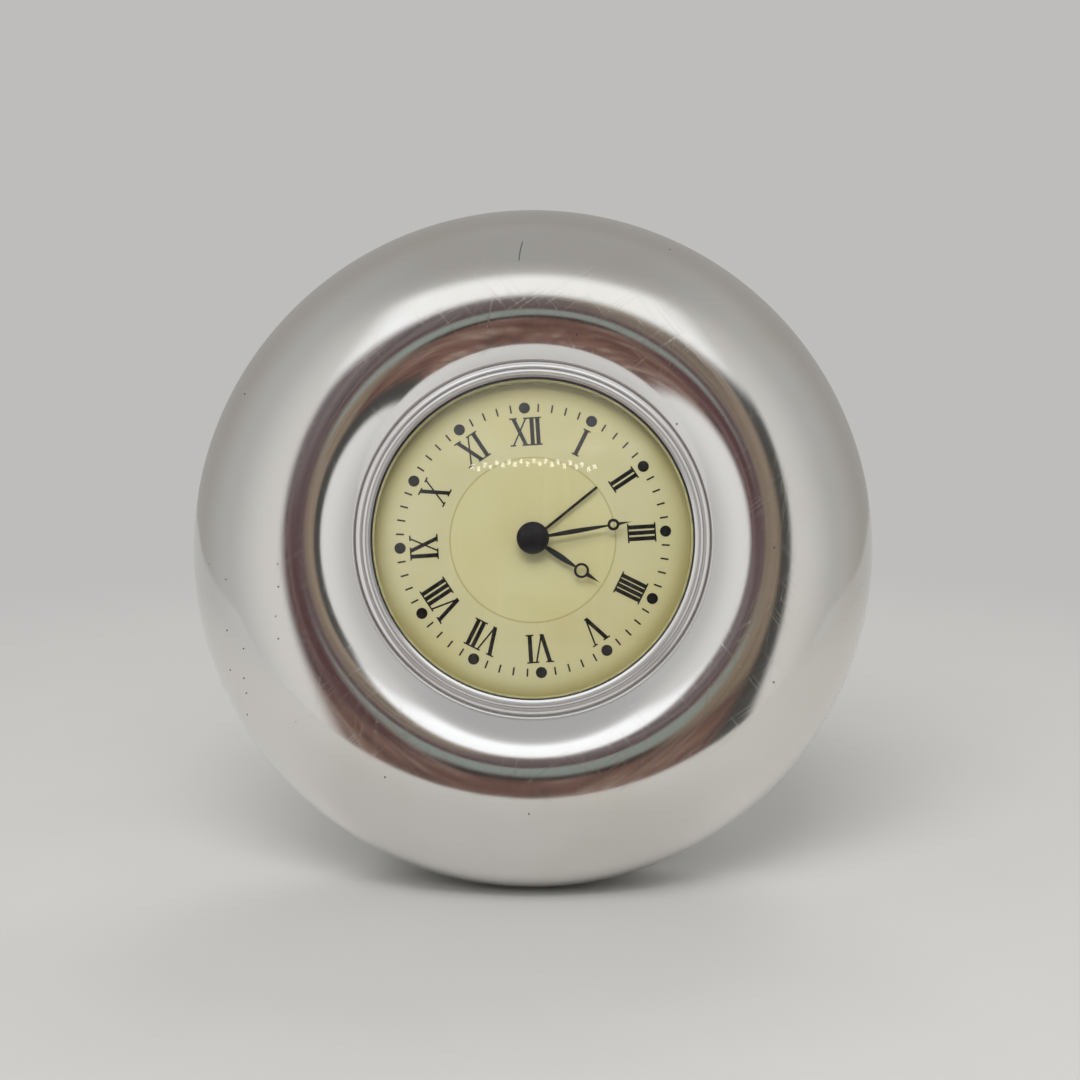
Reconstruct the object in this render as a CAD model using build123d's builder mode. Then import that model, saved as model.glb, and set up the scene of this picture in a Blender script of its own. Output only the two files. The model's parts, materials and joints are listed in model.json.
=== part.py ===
from build123d import *
import os
from math import asin, cos, degrees, radians, sin, sqrt

# Round desk alarm clock: a rolled shell leans back on a folding foot and holds a fit-up quartz insert.
# Heights are measured along the clock's axis, forward of the shell's widest section.
os.makedirs("parts", exist_ok=True)

# Stance
overall_diameter = 112.0
lean = 15.0
insert_turn = 3.7

# Rolled shell
shell_wall = 1.0
mouth_radius = 28.6
crest_share = 0.3066
mouth_drop = 3.65
lip_step = 0.35
lip_width = 1.4
collar_depth = 7.0
back_share = 0.684
flange_width = 7.4

# Back plate and its screws
plate_thickness = 1.0
plate_margin = 0.85
access_margin = 0.6
screw_count = 3
screw_inset = 4.4
screw_radius = 1.25
screw_hole_clearance = 0.1
screw_head_radius = 2.3
screw_head_height = 1.1
screw_slot_width = 0.6
screw_slot_depth = 0.5
nut_radius = 2.3
nut_height = 1.6

# Folding foot at the back
hinge_margin = 0.6
hinge_standoff = 2.4
leg_open = 40.0
leg_thickness = 1.2
leg_top_width = 36.0
leg_foot_width = 44.0
leg_shoulder = 3.8
sole_length = 5.0
barrel_radius = 1.9
pin_radius = 1.0
ear_width = 1.2
ear_radius = 2.4
ear_gap = 0.2
stop_gap = 0.05
foot_corner_radius = 2.0

# Insert case, grip ring, bezel and lens
# The insert is drawn in parts of its mouth's radius, so that dial and movement follow the mouth
mouth_parts = 28.6
insert_unit = mouth_radius / mouth_parts
grip_thickness = 0.8
grip_length = 4.0
seat_gap = 0.03
case_rim_wall = 0.7
case_step = 1.5
case_back_wall = 1.5
case_edge = 0.6
bezel_inset = 0.3
bezel_side = 0.5
bead_height = 1.4
bead_width = 1.2
groove_width = 0.2
groove_height = 0.75
chamfer_width = 1.1
chamfer_foot = 0.05
skirt_length = 2.6
skirt_wall = 0.65
lens_drop = 1.4
lens_flange = 1.2
lens_rise = 3.2
lens_thickness = 1.4
lens_edge = 0.7
lens_clearance = 0.05

# Dial and hands
dial_drop = 2.8
dial_thickness = 0.4
dial_bore_clearance = 0.3
spacer_wall = 0.35
hand_thickness = 0.25
hours_shown = 4
minutes_shown = 14
alarm_minutes_shown = 109
alarm_hand_lift = 0.95
hand_spacing = 0.7
alarm_hand_length = 13.3 * insert_unit
alarm_hand_width = 0.45 * insert_unit
alarm_hub_radius = 2.3 * insert_unit
hour_ring_distance = 9.3 * insert_unit
hour_ring_radius = 1.22 * insert_unit
hour_eye_radius = 0.82 * insert_unit
hour_tip_distance = 12.9 * insert_unit
hour_blade_width = 1.12 * insert_unit
hour_hub_radius = 2.1 * insert_unit
minute_ring_distance = 13.05 * insert_unit
minute_ring_radius = 0.95 * insert_unit
minute_eye_radius = 0.5 * insert_unit
minute_tip_distance = 16.1 * insert_unit
minute_blade_width = 0.8 * insert_unit
minute_hub_radius = 1.8 * insert_unit
cap_radius = 2.6 * insert_unit
cap_height = 1.1
cap_edge = 0.35

# Movement plates
front_plate_thickness = 1.8
plate_spacing = 14.6
rear_plate_thickness = 1.5
rear_plate_margin = 0.1
back_space = 1.5
pillar_margin = 0.7
pillar_radius = 1.5 * insert_unit
pillar_bearings = (20.0, 115.0, 188.0, 300.0)
pillar_screw_radius = 0.6 * insert_unit
pillar_screw_length = 8.0
pillar_screw_head_radius = 1.2 * insert_unit
pillar_screw_head_height = 0.8
board_level = 11.2
board_thickness = 1.0
post_radius = 1.1 * insert_unit

# Wheel teeth, arbors and running fits
tooth_addendum = 0.85
tooth_dedendum = 1.15
tooth_share = 0.54
tip_share = 0.4
wheel_thickness = 0.8
pinion_overhang = 0.2
arbor_radius = 0.4 * insert_unit
pivot_radius = 0.25 * insert_unit
pivot_length = 1.4
running_clearance = 0.05
tube_clearance = 0.08
end_shake = 0.05
minute_arbor_radius = 0.8 * insert_unit
tube_wall = 0.32 * insert_unit
hour_wheel_thickness = 1.0
setting_shaft_radius = 0.9 * insert_unit

# Tooth counts and modules
cannon_teeth = 12
minute_wheel_teeth = 36
minute_pinion_teeth = 10
hour_wheel_teeth = 40
alarm_wheel_teeth = 36
alarm_set_teeth = 18
centre_wheel_teeth = 60
third_wheel_teeth = 64
seconds_wheel_teeth = 48
intermediate_wheel_teeth = 40
train_pinion_teeth = 8
motion_module = 0.3 * insert_unit
train_module = 0.2 * insert_unit
third_module = 0.16 * insert_unit

# Bearings from one arbor to the next, seen from the front
minute_wheel_bearing = 200.0
time_set_bearing = 250.0
alarm_set_bearing = 290.0
third_bearing = 90.0
seconds_bearing = -10.0
intermediate_bearing = -60.0
rotor_bearing = -90.0

# Wheel levels behind the front plate
alarm_wheel_level = 0.4
hour_wheel_level = 1.7
alarm_contact_level = 2.95
motion_level = 3.4
centre_wheel_level = 5.2
third_wheel_level = 7.0
seconds_wheel_level = 9.0
magnet_level = 10.1

# Slip clutch and alarm contact
clutch_flange_radius = 1.4 * insert_unit
clutch_spring_radius = 1.8 * insert_unit
clutch_spring_thickness = 0.25
alarm_contact_thickness = 0.15
alarm_contact_bore = 1.5 * insert_unit
alarm_contact_radius = 2.4 * insert_unit
alarm_contact_width = 1.6 * insert_unit
alarm_contact_bearing = 140.0
alarm_contact_reach = 9.5 * insert_unit

# Stepping motor
magnet_radius = 2.6 * insert_unit
magnet_length = 3.0
stator_bore = 3.0 * insert_unit
stator_ring = 1.0 * insert_unit
stator_arm_width = 2.6 * insert_unit
coil_distance = 17.5 * insert_unit
upper_arm_height = 1.2 * insert_unit
lower_arm_height = -8.5 * insert_unit
arm_knee = 12.0 * insert_unit
core_width = 2.4 * insert_unit
core_thickness = 0.8
bobbin_radius = 1.6
bobbin_flange_radius = 2.9
bobbin_flange_thickness = 0.6
bobbin_end_gap = 0.2
winding_radius = 2.6

# Circuit board and what it carries
board_radius = 21.5 * insert_unit
board_edge = -12.0 * insert_unit
pillar_hole_clearance = 0.2
chip_place = (2.0 * insert_unit, -16.0 * insert_unit)
chip_radius = 2.2 * insert_unit
chip_height = 1.0
crystal_place = (-6.0 * insert_unit, -18.0 * insert_unit)
crystal_radius = 1.0
crystal_length = 6.0 * insert_unit
board_post_places = (
    (-9.5 * insert_unit, -15.5 * insert_unit),
    (6.0 * insert_unit, -17.5 * insert_unit),
)

# Button cell, its contacts and its cap
cell_place = (-12.5 * insert_unit, 8.5 * insert_unit)
cell_radius = 5.8 * insert_unit
cell_height = 5.4
cell_top_radius = 5.0 * insert_unit
cell_top_height = 0.4
cell_clearance = 0.1
contact_thickness = 0.3
contact_width = 2.4 * insert_unit
contact_overrun = 1.0 * insert_unit
contact_end = -15.0 * insert_unit
side_contact_height = 2.3
side_contact_knee = -6.5 * insert_unit
side_contact_foot = (-16.6 * insert_unit, -11.4 * insert_unit)
side_contact_tab_end = (-15.0 * insert_unit, -14.5 * insert_unit)
side_contact_tab_width = 1.6 * insert_unit
cap_plug_clearance = 0.1
cell_cap_margin = 1.1 * insert_unit
cell_cap_thickness = 1.0
cap_plug_radius = 6.3 * insert_unit
cap_lug_reach = 0.8 * insert_unit
cap_lug_width = 2.6 * insert_unit
cap_lug_thickness = 0.7
cap_unlock_turn = 60.0
notch_clearance = 0.2
coin_slot_width = 1.6 * insert_unit
coin_slot_length = 8.0 * insert_unit
coin_slot_depth = 0.6

# Sounder, alarm switch and setting knobs
sounder_place = (9.5 * insert_unit, 12.5 * insert_unit)
sounder_radius = 7.0 * insert_unit
sounder_thickness = 0.5
sound_hole_radius = 0.6 * insert_unit
sound_hole_circle = 3.0 * insert_unit
sound_hole_count = 6
switch_place = (18.0 * insert_unit, -2.0 * insert_unit)
switch_travel = 4.0 * insert_unit
switch_stem = 1.8 * insert_unit
switch_stem_length = 2.0 * insert_unit
switch_width = 3.4 * insert_unit
switch_button_length = 5.0 * insert_unit
switch_button_height = 2.4
switch_flange_thickness = 0.6
switch_gap = 0.1
switch_ridge_depth = 0.5
switch_ridge_width = 0.5 * insert_unit
knob_radius = 4.0 * insert_unit
knob_height = 3.5
knob_gap = 0.5
knob_floor = 0.4
knob_flute_count = 20
knob_flute_depth = 0.35 * insert_unit


def polar(radius, bearing):
    """Point at a radius and bearing in degrees."""
    return (radius * cos(radians(bearing)), radius * sin(radians(bearing)))


def step_from(place, distance, bearing):
    """Place reached from another by a distance along a bearing."""
    step = polar(distance, bearing)
    return (place[0] + step[0], place[1] + step[1])


def half_chord(radius, rise):
    """Half the chord of a round section at a rise from its centre."""
    return sqrt(radius**2 - rise**2)


def dome_radius(edge, rise):
    """Radius of the arc that rises by rise over a half width edge."""
    return (edge**2 + rise**2) / (2 * rise)


def turned(plane, bearing):
    """The same plane, turned about its own normal."""
    x_dir = plane.x_dir * cos(radians(bearing)) + plane.y_dir * sin(radians(bearing))
    return Plane(origin=plane.origin, x_dir=x_dir, z_dir=plane.z_dir)


def write_piece(piece, name):
    """Label a finished piece and write it to its own file."""
    piece.part.label = name
    export_step(piece.part, f"parts/{name}.step")


# Place of the shell: its rim rests on the floor and the part is centred front to back
rim_reach = overall_diameter / 2
crest_radius = mouth_radius + crest_share * (rim_reach - mouth_radius)
section_radius = rim_reach - crest_radius
back_depth = back_share * section_radius
rear_radius = crest_radius + half_chord(section_radius, back_depth)
plate_radius = rear_radius - plate_margin
plate_front = -back_depth
plate_rear = plate_front - plate_thickness
front_reach = crest_radius * sin(radians(lean)) + section_radius
plate_reach = plate_radius * sin(radians(lean)) - plate_rear * cos(radians(lean))
screw_circle = rear_radius - screw_inset
screw_top = screw_circle + screw_head_radius
screw_reach = screw_top * sin(radians(lean)) + (screw_head_height - plate_rear) * cos(radians(lean))
rear_reach = max(plate_reach, screw_reach)
shell_centre = (0, (front_reach - rear_reach) / 2, crest_radius * cos(radians(lean)) + section_radius)
forward = (0, -cos(radians(lean)), sin(radians(lean)))
upward = (0, sin(radians(lean)), cos(radians(lean)))
downward = (0, -upward[1], -upward[2])
body_plane = Plane(origin=shell_centre, x_dir=(1, 0, 0), z_dir=forward)
profile_plane = Plane(origin=shell_centre, x_dir=(1, 0, 0), z_dir=downward)
side_plane = Plane(origin=shell_centre, x_dir=upward, z_dir=(1, 0, 0))
insert_plane = turned(body_plane, insert_turn)
clock_axis = Axis(shell_centre, forward)


def station(place, height):
    """Plane across the insert's axis, centred on a place, at a height."""
    return Plane(
        origin=insert_plane.from_local_coords((place[0], place[1], height)),
        x_dir=insert_plane.x_dir,
        z_dir=insert_plane.z_dir,
    )


# Heights of the insert, counted back from the lip that the bezel sits on
mouth_height = section_radius - mouth_drop
lip_height = mouth_height - lip_step
collar_radius = mouth_radius - lip_width
collar_outer = collar_radius + shell_wall
collar_rear = lip_height - collar_depth
lens_seat = lip_height - lens_drop
dial_front = lens_seat - dial_drop
front_plate_front = dial_front - dial_thickness
front_plate_rear = front_plate_front - front_plate_thickness
rear_plate_front = front_plate_rear - plate_spacing
rear_plate_rear = rear_plate_front - rear_plate_thickness
case_floor = rear_plate_rear - back_space
case_rear = case_floor - case_back_wall
board_front = front_plate_rear - board_level
board_rear = board_front - board_thickness

# Radii of the insert, counted in from the collar
case_radius = collar_radius - grip_thickness
access_radius = case_radius + access_margin
hinge_drop = access_radius + ear_radius + hinge_margin
rim_radius = case_radius - case_rim_wall
cavity_radius = rim_radius - case_step
pillar_circle = cavity_radius - pillar_radius - pillar_margin
dial_radius = rim_radius - running_clearance
hour_bore = minute_arbor_radius + tube_clearance
hour_tube_radius = hour_bore + tube_wall
alarm_bore = hour_tube_radius + tube_clearance
alarm_tube_radius = alarm_bore + tube_wall

# Places of the arbors
centre_place = (0.0, 0.0)
motion_distance = motion_module * (cannon_teeth + minute_wheel_teeth) / 2
hour_module = 2 * motion_distance / (minute_pinion_teeth + hour_wheel_teeth)
alarm_distance = motion_module * (alarm_wheel_teeth + alarm_set_teeth) / 2
third_distance = train_module * (centre_wheel_teeth + train_pinion_teeth) / 2
seconds_distance = third_module * (third_wheel_teeth + train_pinion_teeth) / 2
intermediate_distance = train_module * (seconds_wheel_teeth + train_pinion_teeth) / 2
rotor_distance = train_module * (intermediate_wheel_teeth + train_pinion_teeth) / 2
minute_wheel_place = step_from(centre_place, motion_distance, minute_wheel_bearing)
time_set_place = step_from(minute_wheel_place, motion_distance, time_set_bearing)
alarm_set_place = step_from(centre_place, alarm_distance, alarm_set_bearing)
third_place = step_from(centre_place, third_distance, third_bearing)
seconds_place = step_from(third_place, seconds_distance, seconds_bearing)
intermediate_place = step_from(seconds_place, intermediate_distance, intermediate_bearing)
rotor_place = step_from(intermediate_place, rotor_distance, rotor_bearing)
train_places = (minute_wheel_place, third_place, seconds_place, intermediate_place, rotor_place)
setting_places = (time_set_place, alarm_set_place)
pillar_places = [polar(pillar_circle, bearing) for bearing in pillar_bearings]
stator_post_places = ((coil_distance, upper_arm_height), (coil_distance, lower_arm_height))


# Shell: one spun bowl with a rolled rim, an inner collar for the insert and a flat flange at the back
inner_roll_radius = dome_radius(crest_radius - mouth_radius, mouth_drop)
inner_roll_height = section_radius - inner_roll_radius
rear_angle = degrees(asin(back_depth / section_radius))
mouth_angle = degrees(asin((crest_radius - mouth_radius) / inner_roll_radius))
inside_radius = section_radius - shell_wall
inside_rear_angle = degrees(asin((back_depth - shell_wall) / inside_radius))
inside_roll_radius = inner_roll_radius - shell_wall
collar_root_height = lip_height - shell_wall
collar_root_rise = collar_root_height - inner_roll_height
inside_mouth_angle = degrees(asin(half_chord(inside_roll_radius, collar_root_rise) / inside_roll_radius))
flange_radius = rear_radius - flange_width
with BuildPart() as shell:
    with BuildSketch(profile_plane):
        with BuildLine():
            outside = CenterArc((crest_radius, 0), section_radius, -rear_angle, 90 + rear_angle)
            roll = CenterArc((crest_radius, inner_roll_height), inner_roll_radius, 90, mouth_angle)
            inside = CenterArc((crest_radius, 0), inside_radius, -inside_rear_angle, 90 + inside_rear_angle)
            inside_roll = CenterArc(
                (crest_radius, inner_roll_height), inside_roll_radius, 90, inside_mouth_angle
            )
            Polyline(
                roll @ 1,
                (mouth_radius, lip_height),
                (collar_radius, lip_height),
                (collar_radius, collar_rear),
                (collar_outer, collar_rear),
                (collar_outer, collar_root_height),
                inside_roll @ 1,
            )
            Polyline(
                outside @ 0,
                (flange_radius, plate_front),
                (flange_radius, plate_front + shell_wall),
                inside @ 0,
            )
        make_face()
    revolve(axis=clock_axis)
    with BuildSketch(body_plane.offset(plate_front)):
        with PolarLocations(screw_circle, screw_count, start_angle=90):
            Circle(screw_radius + screw_hole_clearance)
    extrude(amount=shell_wall, mode=Mode.SUBTRACT)
write_piece(shell, "shell")

# Back plate: a flat disc with a round opening for the insert and two hinge ears below it
hinge_height = plate_rear - hinge_standoff
barrel_half = leg_top_width / 2 + ear_gap
ear_inner = barrel_half + ear_gap
ear_outer = ear_inner + ear_width
with BuildPart() as back_plate:
    with BuildSketch(body_plane.offset(plate_rear)):
        Circle(plate_radius)
        Circle(access_radius, mode=Mode.SUBTRACT)
        with PolarLocations(screw_circle, screw_count, start_angle=90):
            Circle(screw_radius + screw_hole_clearance, mode=Mode.SUBTRACT)
    extrude(amount=plate_thickness)
    with BuildSketch(side_plane.offset(ear_inner), side_plane.offset(-ear_outer)):
        with Locations((-hinge_drop, hinge_height)):
            Circle(ear_radius)
            Rectangle(2 * ear_radius, hinge_standoff, align=(Align.CENTER, Align.MIN))
            Circle(pin_radius, mode=Mode.SUBTRACT)
    extrude(amount=ear_width)
write_piece(back_plate, "back_plate")

# Back plate screws: slotted pan heads, one set
with BuildPart() as back_plate_screws:
    with BuildSketch(body_plane.offset(plate_rear)):
        with PolarLocations(screw_circle, screw_count, start_angle=90):
            Circle(screw_head_radius)
    extrude(amount=-screw_head_height)
    with BuildSketch(body_plane.offset(plate_rear)):
        with PolarLocations(screw_circle, screw_count, start_angle=90):
            Circle(screw_radius)
    extrude(amount=plate_thickness + shell_wall + nut_height)
    with BuildSketch(body_plane.offset(plate_rear - screw_head_height)):
        with PolarLocations(screw_circle, screw_count, start_angle=90):
            Rectangle(2 * screw_head_radius, screw_slot_width)
    extrude(amount=screw_slot_depth, mode=Mode.SUBTRACT)
write_piece(back_plate_screws, "back_plate_screws")

# Clinch nuts inside the shell's flange, one set
with BuildPart() as clinch_nuts:
    with BuildSketch(body_plane.offset(plate_front + shell_wall)):
        with PolarLocations(screw_circle, screw_count, start_angle=90):
            RegularPolygon(nut_radius, 6)
            Circle(screw_radius, mode=Mode.SUBTRACT)
    extrude(amount=nut_height)
write_piece(clinch_nuts, "clinch_nuts")

# Folding foot: a sheet leg with a rolled hinge barrel, a heel that stops it and a flat sole
hinge_point = body_plane.from_local_coords((0, -hinge_drop, hinge_height))
leg_slope = leg_open - lean
leg_normal = (0, cos(radians(leg_slope)), sin(radians(leg_slope)))
leg_length = hinge_point.Z / cos(radians(leg_slope))
half_leg = leg_thickness / 2
heel_length = (hinge_standoff - half_leg * cos(radians(leg_open)) - stop_gap) / sin(radians(leg_open))
sole_front = hinge_point.Y + leg_length * sin(radians(leg_slope)) - half_leg / cos(radians(leg_slope))
leg_plane = Plane(origin=hinge_point, x_dir=(1, 0, 0), z_dir=leg_normal)
hinge_plane = Plane(origin=hinge_point, x_dir=upward, z_dir=(1, 0, 0))
with BuildPart() as stand_leg:
    with BuildSketch(leg_plane):
        with BuildLine():
            Polyline(
                (leg_top_width / 2, -heel_length),
                (leg_top_width / 2, leg_shoulder),
                (leg_foot_width / 2, leg_length),
                (leg_foot_width / 2, leg_length + leg_thickness),
                (-leg_foot_width / 2, leg_length + leg_thickness),
                (-leg_foot_width / 2, leg_length),
                (-leg_top_width / 2, leg_shoulder),
                (-leg_top_width / 2, -heel_length),
                close=True,
            )
        make_face()
    extrude(amount=half_leg, both=True)
    with BuildSketch(hinge_plane):
        Circle(barrel_radius)
    extrude(amount=barrel_half, both=True)
    with BuildSketch(hinge_plane):
        Circle(pin_radius + running_clearance)
    extrude(amount=barrel_half, both=True, mode=Mode.SUBTRACT)
    split(bisect_by=Plane.XY, keep=Keep.TOP)
    with BuildSketch(Plane.XY):
        with Locations((0, sole_front)):
            sole = Rectangle(leg_foot_width, sole_length, align=(Align.CENTER, Align.MIN))
        fillet(sole.vertices().group_by(Axis.Y)[-1], foot_corner_radius)
    extrude(amount=leg_thickness)
write_piece(stand_leg, "stand_leg")

# Hinge pin: pressed through both ears
with BuildPart() as hinge_pin:
    with BuildSketch(hinge_plane):
        Circle(pin_radius)
    extrude(amount=ear_outer, both=True)
write_piece(hinge_pin, "hinge_pin")

# Insert case: a moulded cup with a stepped rim, bored for the setting shafts, cell cap, switch and sound
cell_cap_radius = cap_plug_radius + cell_cap_margin
lug_radius = cap_plug_radius + cap_lug_reach
switch_slot_length = switch_stem_length + switch_travel + 2 * switch_gap
with BuildPart() as insert_case:
    with BuildSketch(profile_plane):
        with BuildLine():
            Polyline(
                (0, case_rear),
                (case_radius - case_edge, case_rear),
                (case_radius, case_rear + case_edge),
                (case_radius, lens_seat),
                (rim_radius, lens_seat),
                (rim_radius, front_plate_rear),
                (cavity_radius, front_plate_rear),
                (cavity_radius, case_floor),
                (0, case_floor),
                close=True,
            )
        make_face()
    revolve(axis=clock_axis)
    with BuildSketch(insert_plane.offset(case_rear)):
        with Locations(*setting_places):
            Circle(setting_shaft_radius + running_clearance)
        with Locations(cell_place):
            Circle(cap_plug_radius + cap_plug_clearance)
            Rectangle(
                2 * (lug_radius + notch_clearance),
                cap_lug_width + 2 * notch_clearance,
                rotation=-cap_unlock_turn,
            )
        with Locations(sounder_place):
            Circle(sound_hole_radius)
            with PolarLocations(sound_hole_circle, sound_hole_count):
                Circle(sound_hole_radius)
        with Locations((switch_place[0], switch_place[1] + switch_travel / 2)):
            Rectangle(switch_stem + 2 * switch_gap, switch_slot_length)
    extrude(amount=case_back_wall, mode=Mode.SUBTRACT)
write_piece(insert_case, "insert_case")

# Grip ring: a rubber band that holds the insert in the collar
with BuildPart() as grip_ring:
    with BuildSketch(insert_plane.offset(collar_rear + seat_gap)):
        Circle(collar_radius - seat_gap)
        Circle(case_radius + seat_gap, mode=Mode.SUBTRACT)
    extrude(amount=grip_length)
write_piece(grip_ring, "grip_ring")

# Bezel: a turned ring with a bright bead, a fine groove, a sloped inner edge and a skirt over the case
bezel_radius = mouth_radius - bezel_inset
bead_inner = bezel_radius - bead_width
groove_inner = bead_inner - groove_width
window_radius = groove_inner - chamfer_width
groove_top = lip_height + groove_height
skirt_inner = case_radius + running_clearance
skirt_outer = skirt_inner + skirt_wall
lens_top = lens_seat + lens_flange
with BuildPart() as bezel:
    with BuildSketch(profile_plane):
        with BuildLine():
            bead = ThreePointArc(
                (bezel_radius, lip_height + bezel_side),
                (bezel_radius - bead_width / 2, lip_height + bead_height),
                (bead_inner, groove_top),
            )
            Polyline(
                bead @ 1,
                (groove_inner, groove_top),
                (window_radius, lip_height + chamfer_foot),
                (window_radius, lens_top + lens_clearance),
                (skirt_inner, lens_top + lens_clearance),
                (skirt_inner, lip_height - skirt_length),
                (skirt_outer, lip_height - skirt_length),
                (skirt_outer, lip_height),
                (bezel_radius, lip_height),
                bead @ 0,
            )
        make_face()
    revolve(axis=clock_axis)
write_piece(bezel, "bezel")

# Lens: a domed clear disc with a flat flange under the bezel
lens_dome_edge = window_radius - lens_clearance
lens_inner_edge = rim_radius - lens_edge
outer_dome = dome_radius(lens_dome_edge, lens_rise)
inner_rise = lens_flange + lens_rise - lens_thickness
inner_dome = dome_radius(lens_inner_edge, inner_rise)
outer_dome_angle = degrees(asin(lens_dome_edge / outer_dome))
inner_dome_angle = degrees(asin(lens_inner_edge / inner_dome))
lens_apex = lens_top + lens_rise
with BuildPart() as lens:
    with BuildSketch(profile_plane):
        with BuildLine():
            dome = CenterArc((0, lens_apex - outer_dome), outer_dome, 90 - outer_dome_angle, outer_dome_angle)
            hollow = CenterArc(
                (0, lens_apex - lens_thickness - inner_dome),
                inner_dome,
                90 - inner_dome_angle,
                inner_dome_angle,
            )
            Polyline(dome @ 0, (case_radius, lens_top), (case_radius, lens_seat), hollow @ 0)
            Line(hollow @ 1, dome @ 1)
        make_face()
    revolve(axis=clock_axis)
write_piece(lens, "lens")

# Dial spacer: a thin ring that keeps the dial down and the lens off the hands
with BuildPart() as dial_spacer:
    with BuildSketch(insert_plane.offset(dial_front)):
        Circle(dial_radius)
        Circle(dial_radius - spacer_wall, mode=Mode.SUBTRACT)
    extrude(amount=dial_drop)
write_piece(dial_spacer, "dial_spacer")

# Dial: a thin flat disc with a centre hole
with BuildPart() as dial:
    with BuildSketch(insert_plane.offset(front_plate_front)):
        Circle(dial_radius)
        Circle(alarm_tube_radius + dial_bore_clearance, mode=Mode.SUBTRACT)
    extrude(amount=dial_thickness)
write_piece(dial, "dial")

# Front plate: seats on the step of the case, carries the front pivots and the alarm contact's post
alarm_contact_place = polar(alarm_contact_reach, alarm_contact_bearing)
alarm_contact_front = front_plate_rear - alarm_contact_level
with BuildPart() as front_plate:
    with BuildSketch(insert_plane.offset(front_plate_rear)):
        Circle(rim_radius - running_clearance)
    extrude(amount=front_plate_thickness)
    with BuildSketch(insert_plane.offset(front_plate_rear)):
        with Locations(alarm_contact_place):
            Circle(post_radius)
    extrude(amount=-alarm_contact_level)
    with BuildSketch(insert_plane.offset(front_plate_rear)):
        Circle(alarm_tube_radius + running_clearance)
        with Locations(*train_places, *setting_places):
            Circle(pivot_radius + running_clearance)
        with Locations(*pillar_places):
            Circle(pillar_screw_radius + screw_hole_clearance)
    extrude(amount=front_plate_thickness, mode=Mode.SUBTRACT)
    with BuildSketch(insert_plane.offset(front_plate_front)):
        with Locations(*pillar_places):
            Circle(pillar_screw_head_radius + screw_hole_clearance)
    extrude(amount=-pillar_screw_head_height, mode=Mode.SUBTRACT)
write_piece(front_plate, "front_plate")

# Rear plate: one moulding with four pillars and the posts under the board and the stator
with BuildPart() as rear_plate:
    with BuildSketch(insert_plane.offset(rear_plate_rear)):
        Circle(cavity_radius - rear_plate_margin)
        with Locations(cell_place):
            Circle(cell_radius + cell_clearance, mode=Mode.SUBTRACT)
    extrude(amount=rear_plate_thickness)
    with BuildSketch(insert_plane.offset(rear_plate_front)):
        with Locations(*pillar_places):
            Circle(pillar_radius)
    extrude(amount=plate_spacing)
    with BuildSketch(insert_plane.offset(rear_plate_front)):
        with Locations(*board_post_places, *stator_post_places):
            Circle(post_radius)
    extrude(amount=board_rear - rear_plate_front)
    with BuildSketch(insert_plane.offset(rear_plate_rear)):
        with Locations(centre_place, *train_places):
            Circle(pivot_radius + running_clearance)
        with Locations(*setting_places):
            Circle(setting_shaft_radius + running_clearance)
    extrude(amount=rear_plate_thickness, mode=Mode.SUBTRACT)
    with BuildSketch(insert_plane.offset(front_plate_rear)):
        with Locations(*pillar_places):
            Circle(pillar_screw_radius)
    extrude(amount=-pillar_screw_length, mode=Mode.SUBTRACT)
write_piece(rear_plate, "rear_plate")

# Plate screws: sunk flush in the front plate, one set
with BuildPart() as plate_screws:
    with BuildSketch(insert_plane.offset(front_plate_front - pillar_screw_head_height)):
        with Locations(*pillar_places):
            Circle(pillar_screw_head_radius)
    extrude(amount=pillar_screw_head_height)
    with BuildSketch(insert_plane.offset(front_plate_rear - pillar_screw_length)):
        with Locations(*pillar_places):
            Circle(pillar_screw_radius)
    extrude(amount=pillar_screw_length + front_plate_thickness - pillar_screw_head_height)
write_piece(plate_screws, "plate_screws")


def tooth_outline(teeth, module, turn):
    """Clock teeth with straight narrowing flanks; the first tooth points along the bearing turn."""
    pitch_radius = teeth * module / 2
    root_radius = pitch_radius - tooth_dedendum * module
    tip_radius = pitch_radius + tooth_addendum * module
    root_half = tooth_share * 180 / teeth
    tip_half = root_half * tip_share
    points = []
    for tooth in range(teeth):
        middle = turn + tooth * 360 / teeth
        points.append(polar(root_radius, middle - root_half))
        points.append(polar(tip_radius, middle - tip_half))
        points.append(polar(tip_radius, middle + tip_half))
        points.append(polar(root_radius, middle + root_half))
    Polygon(*points, align=None)


def meshed_turn(driver_teeth, driver_turn, teeth, bearing):
    """Bearing of a tooth on the wheel that meshes with a driver lying opposite along a bearing."""
    return bearing + 180 - (driver_turn - bearing) * driver_teeth / teeth - 180 / teeth


# Bearings of one tooth on each wheel, so that every pair is in mesh
minute_wheel_turn = meshed_turn(cannon_teeth, 0, minute_wheel_teeth, minute_wheel_bearing)
time_set_turn = meshed_turn(minute_wheel_teeth, minute_wheel_turn, cannon_teeth, time_set_bearing)
minute_pinion_turn = meshed_turn(hour_wheel_teeth, 0, minute_pinion_teeth, minute_wheel_bearing)
alarm_set_turn = meshed_turn(alarm_wheel_teeth, 0, alarm_set_teeth, alarm_set_bearing)
third_pinion_turn = meshed_turn(centre_wheel_teeth, 0, train_pinion_teeth, third_bearing)
seconds_pinion_turn = meshed_turn(third_wheel_teeth, 0, train_pinion_teeth, seconds_bearing)
intermediate_pinion_turn = meshed_turn(seconds_wheel_teeth, 0, train_pinion_teeth, intermediate_bearing)
rotor_pinion_turn = meshed_turn(intermediate_wheel_teeth, 0, train_pinion_teeth, rotor_bearing)


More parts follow.
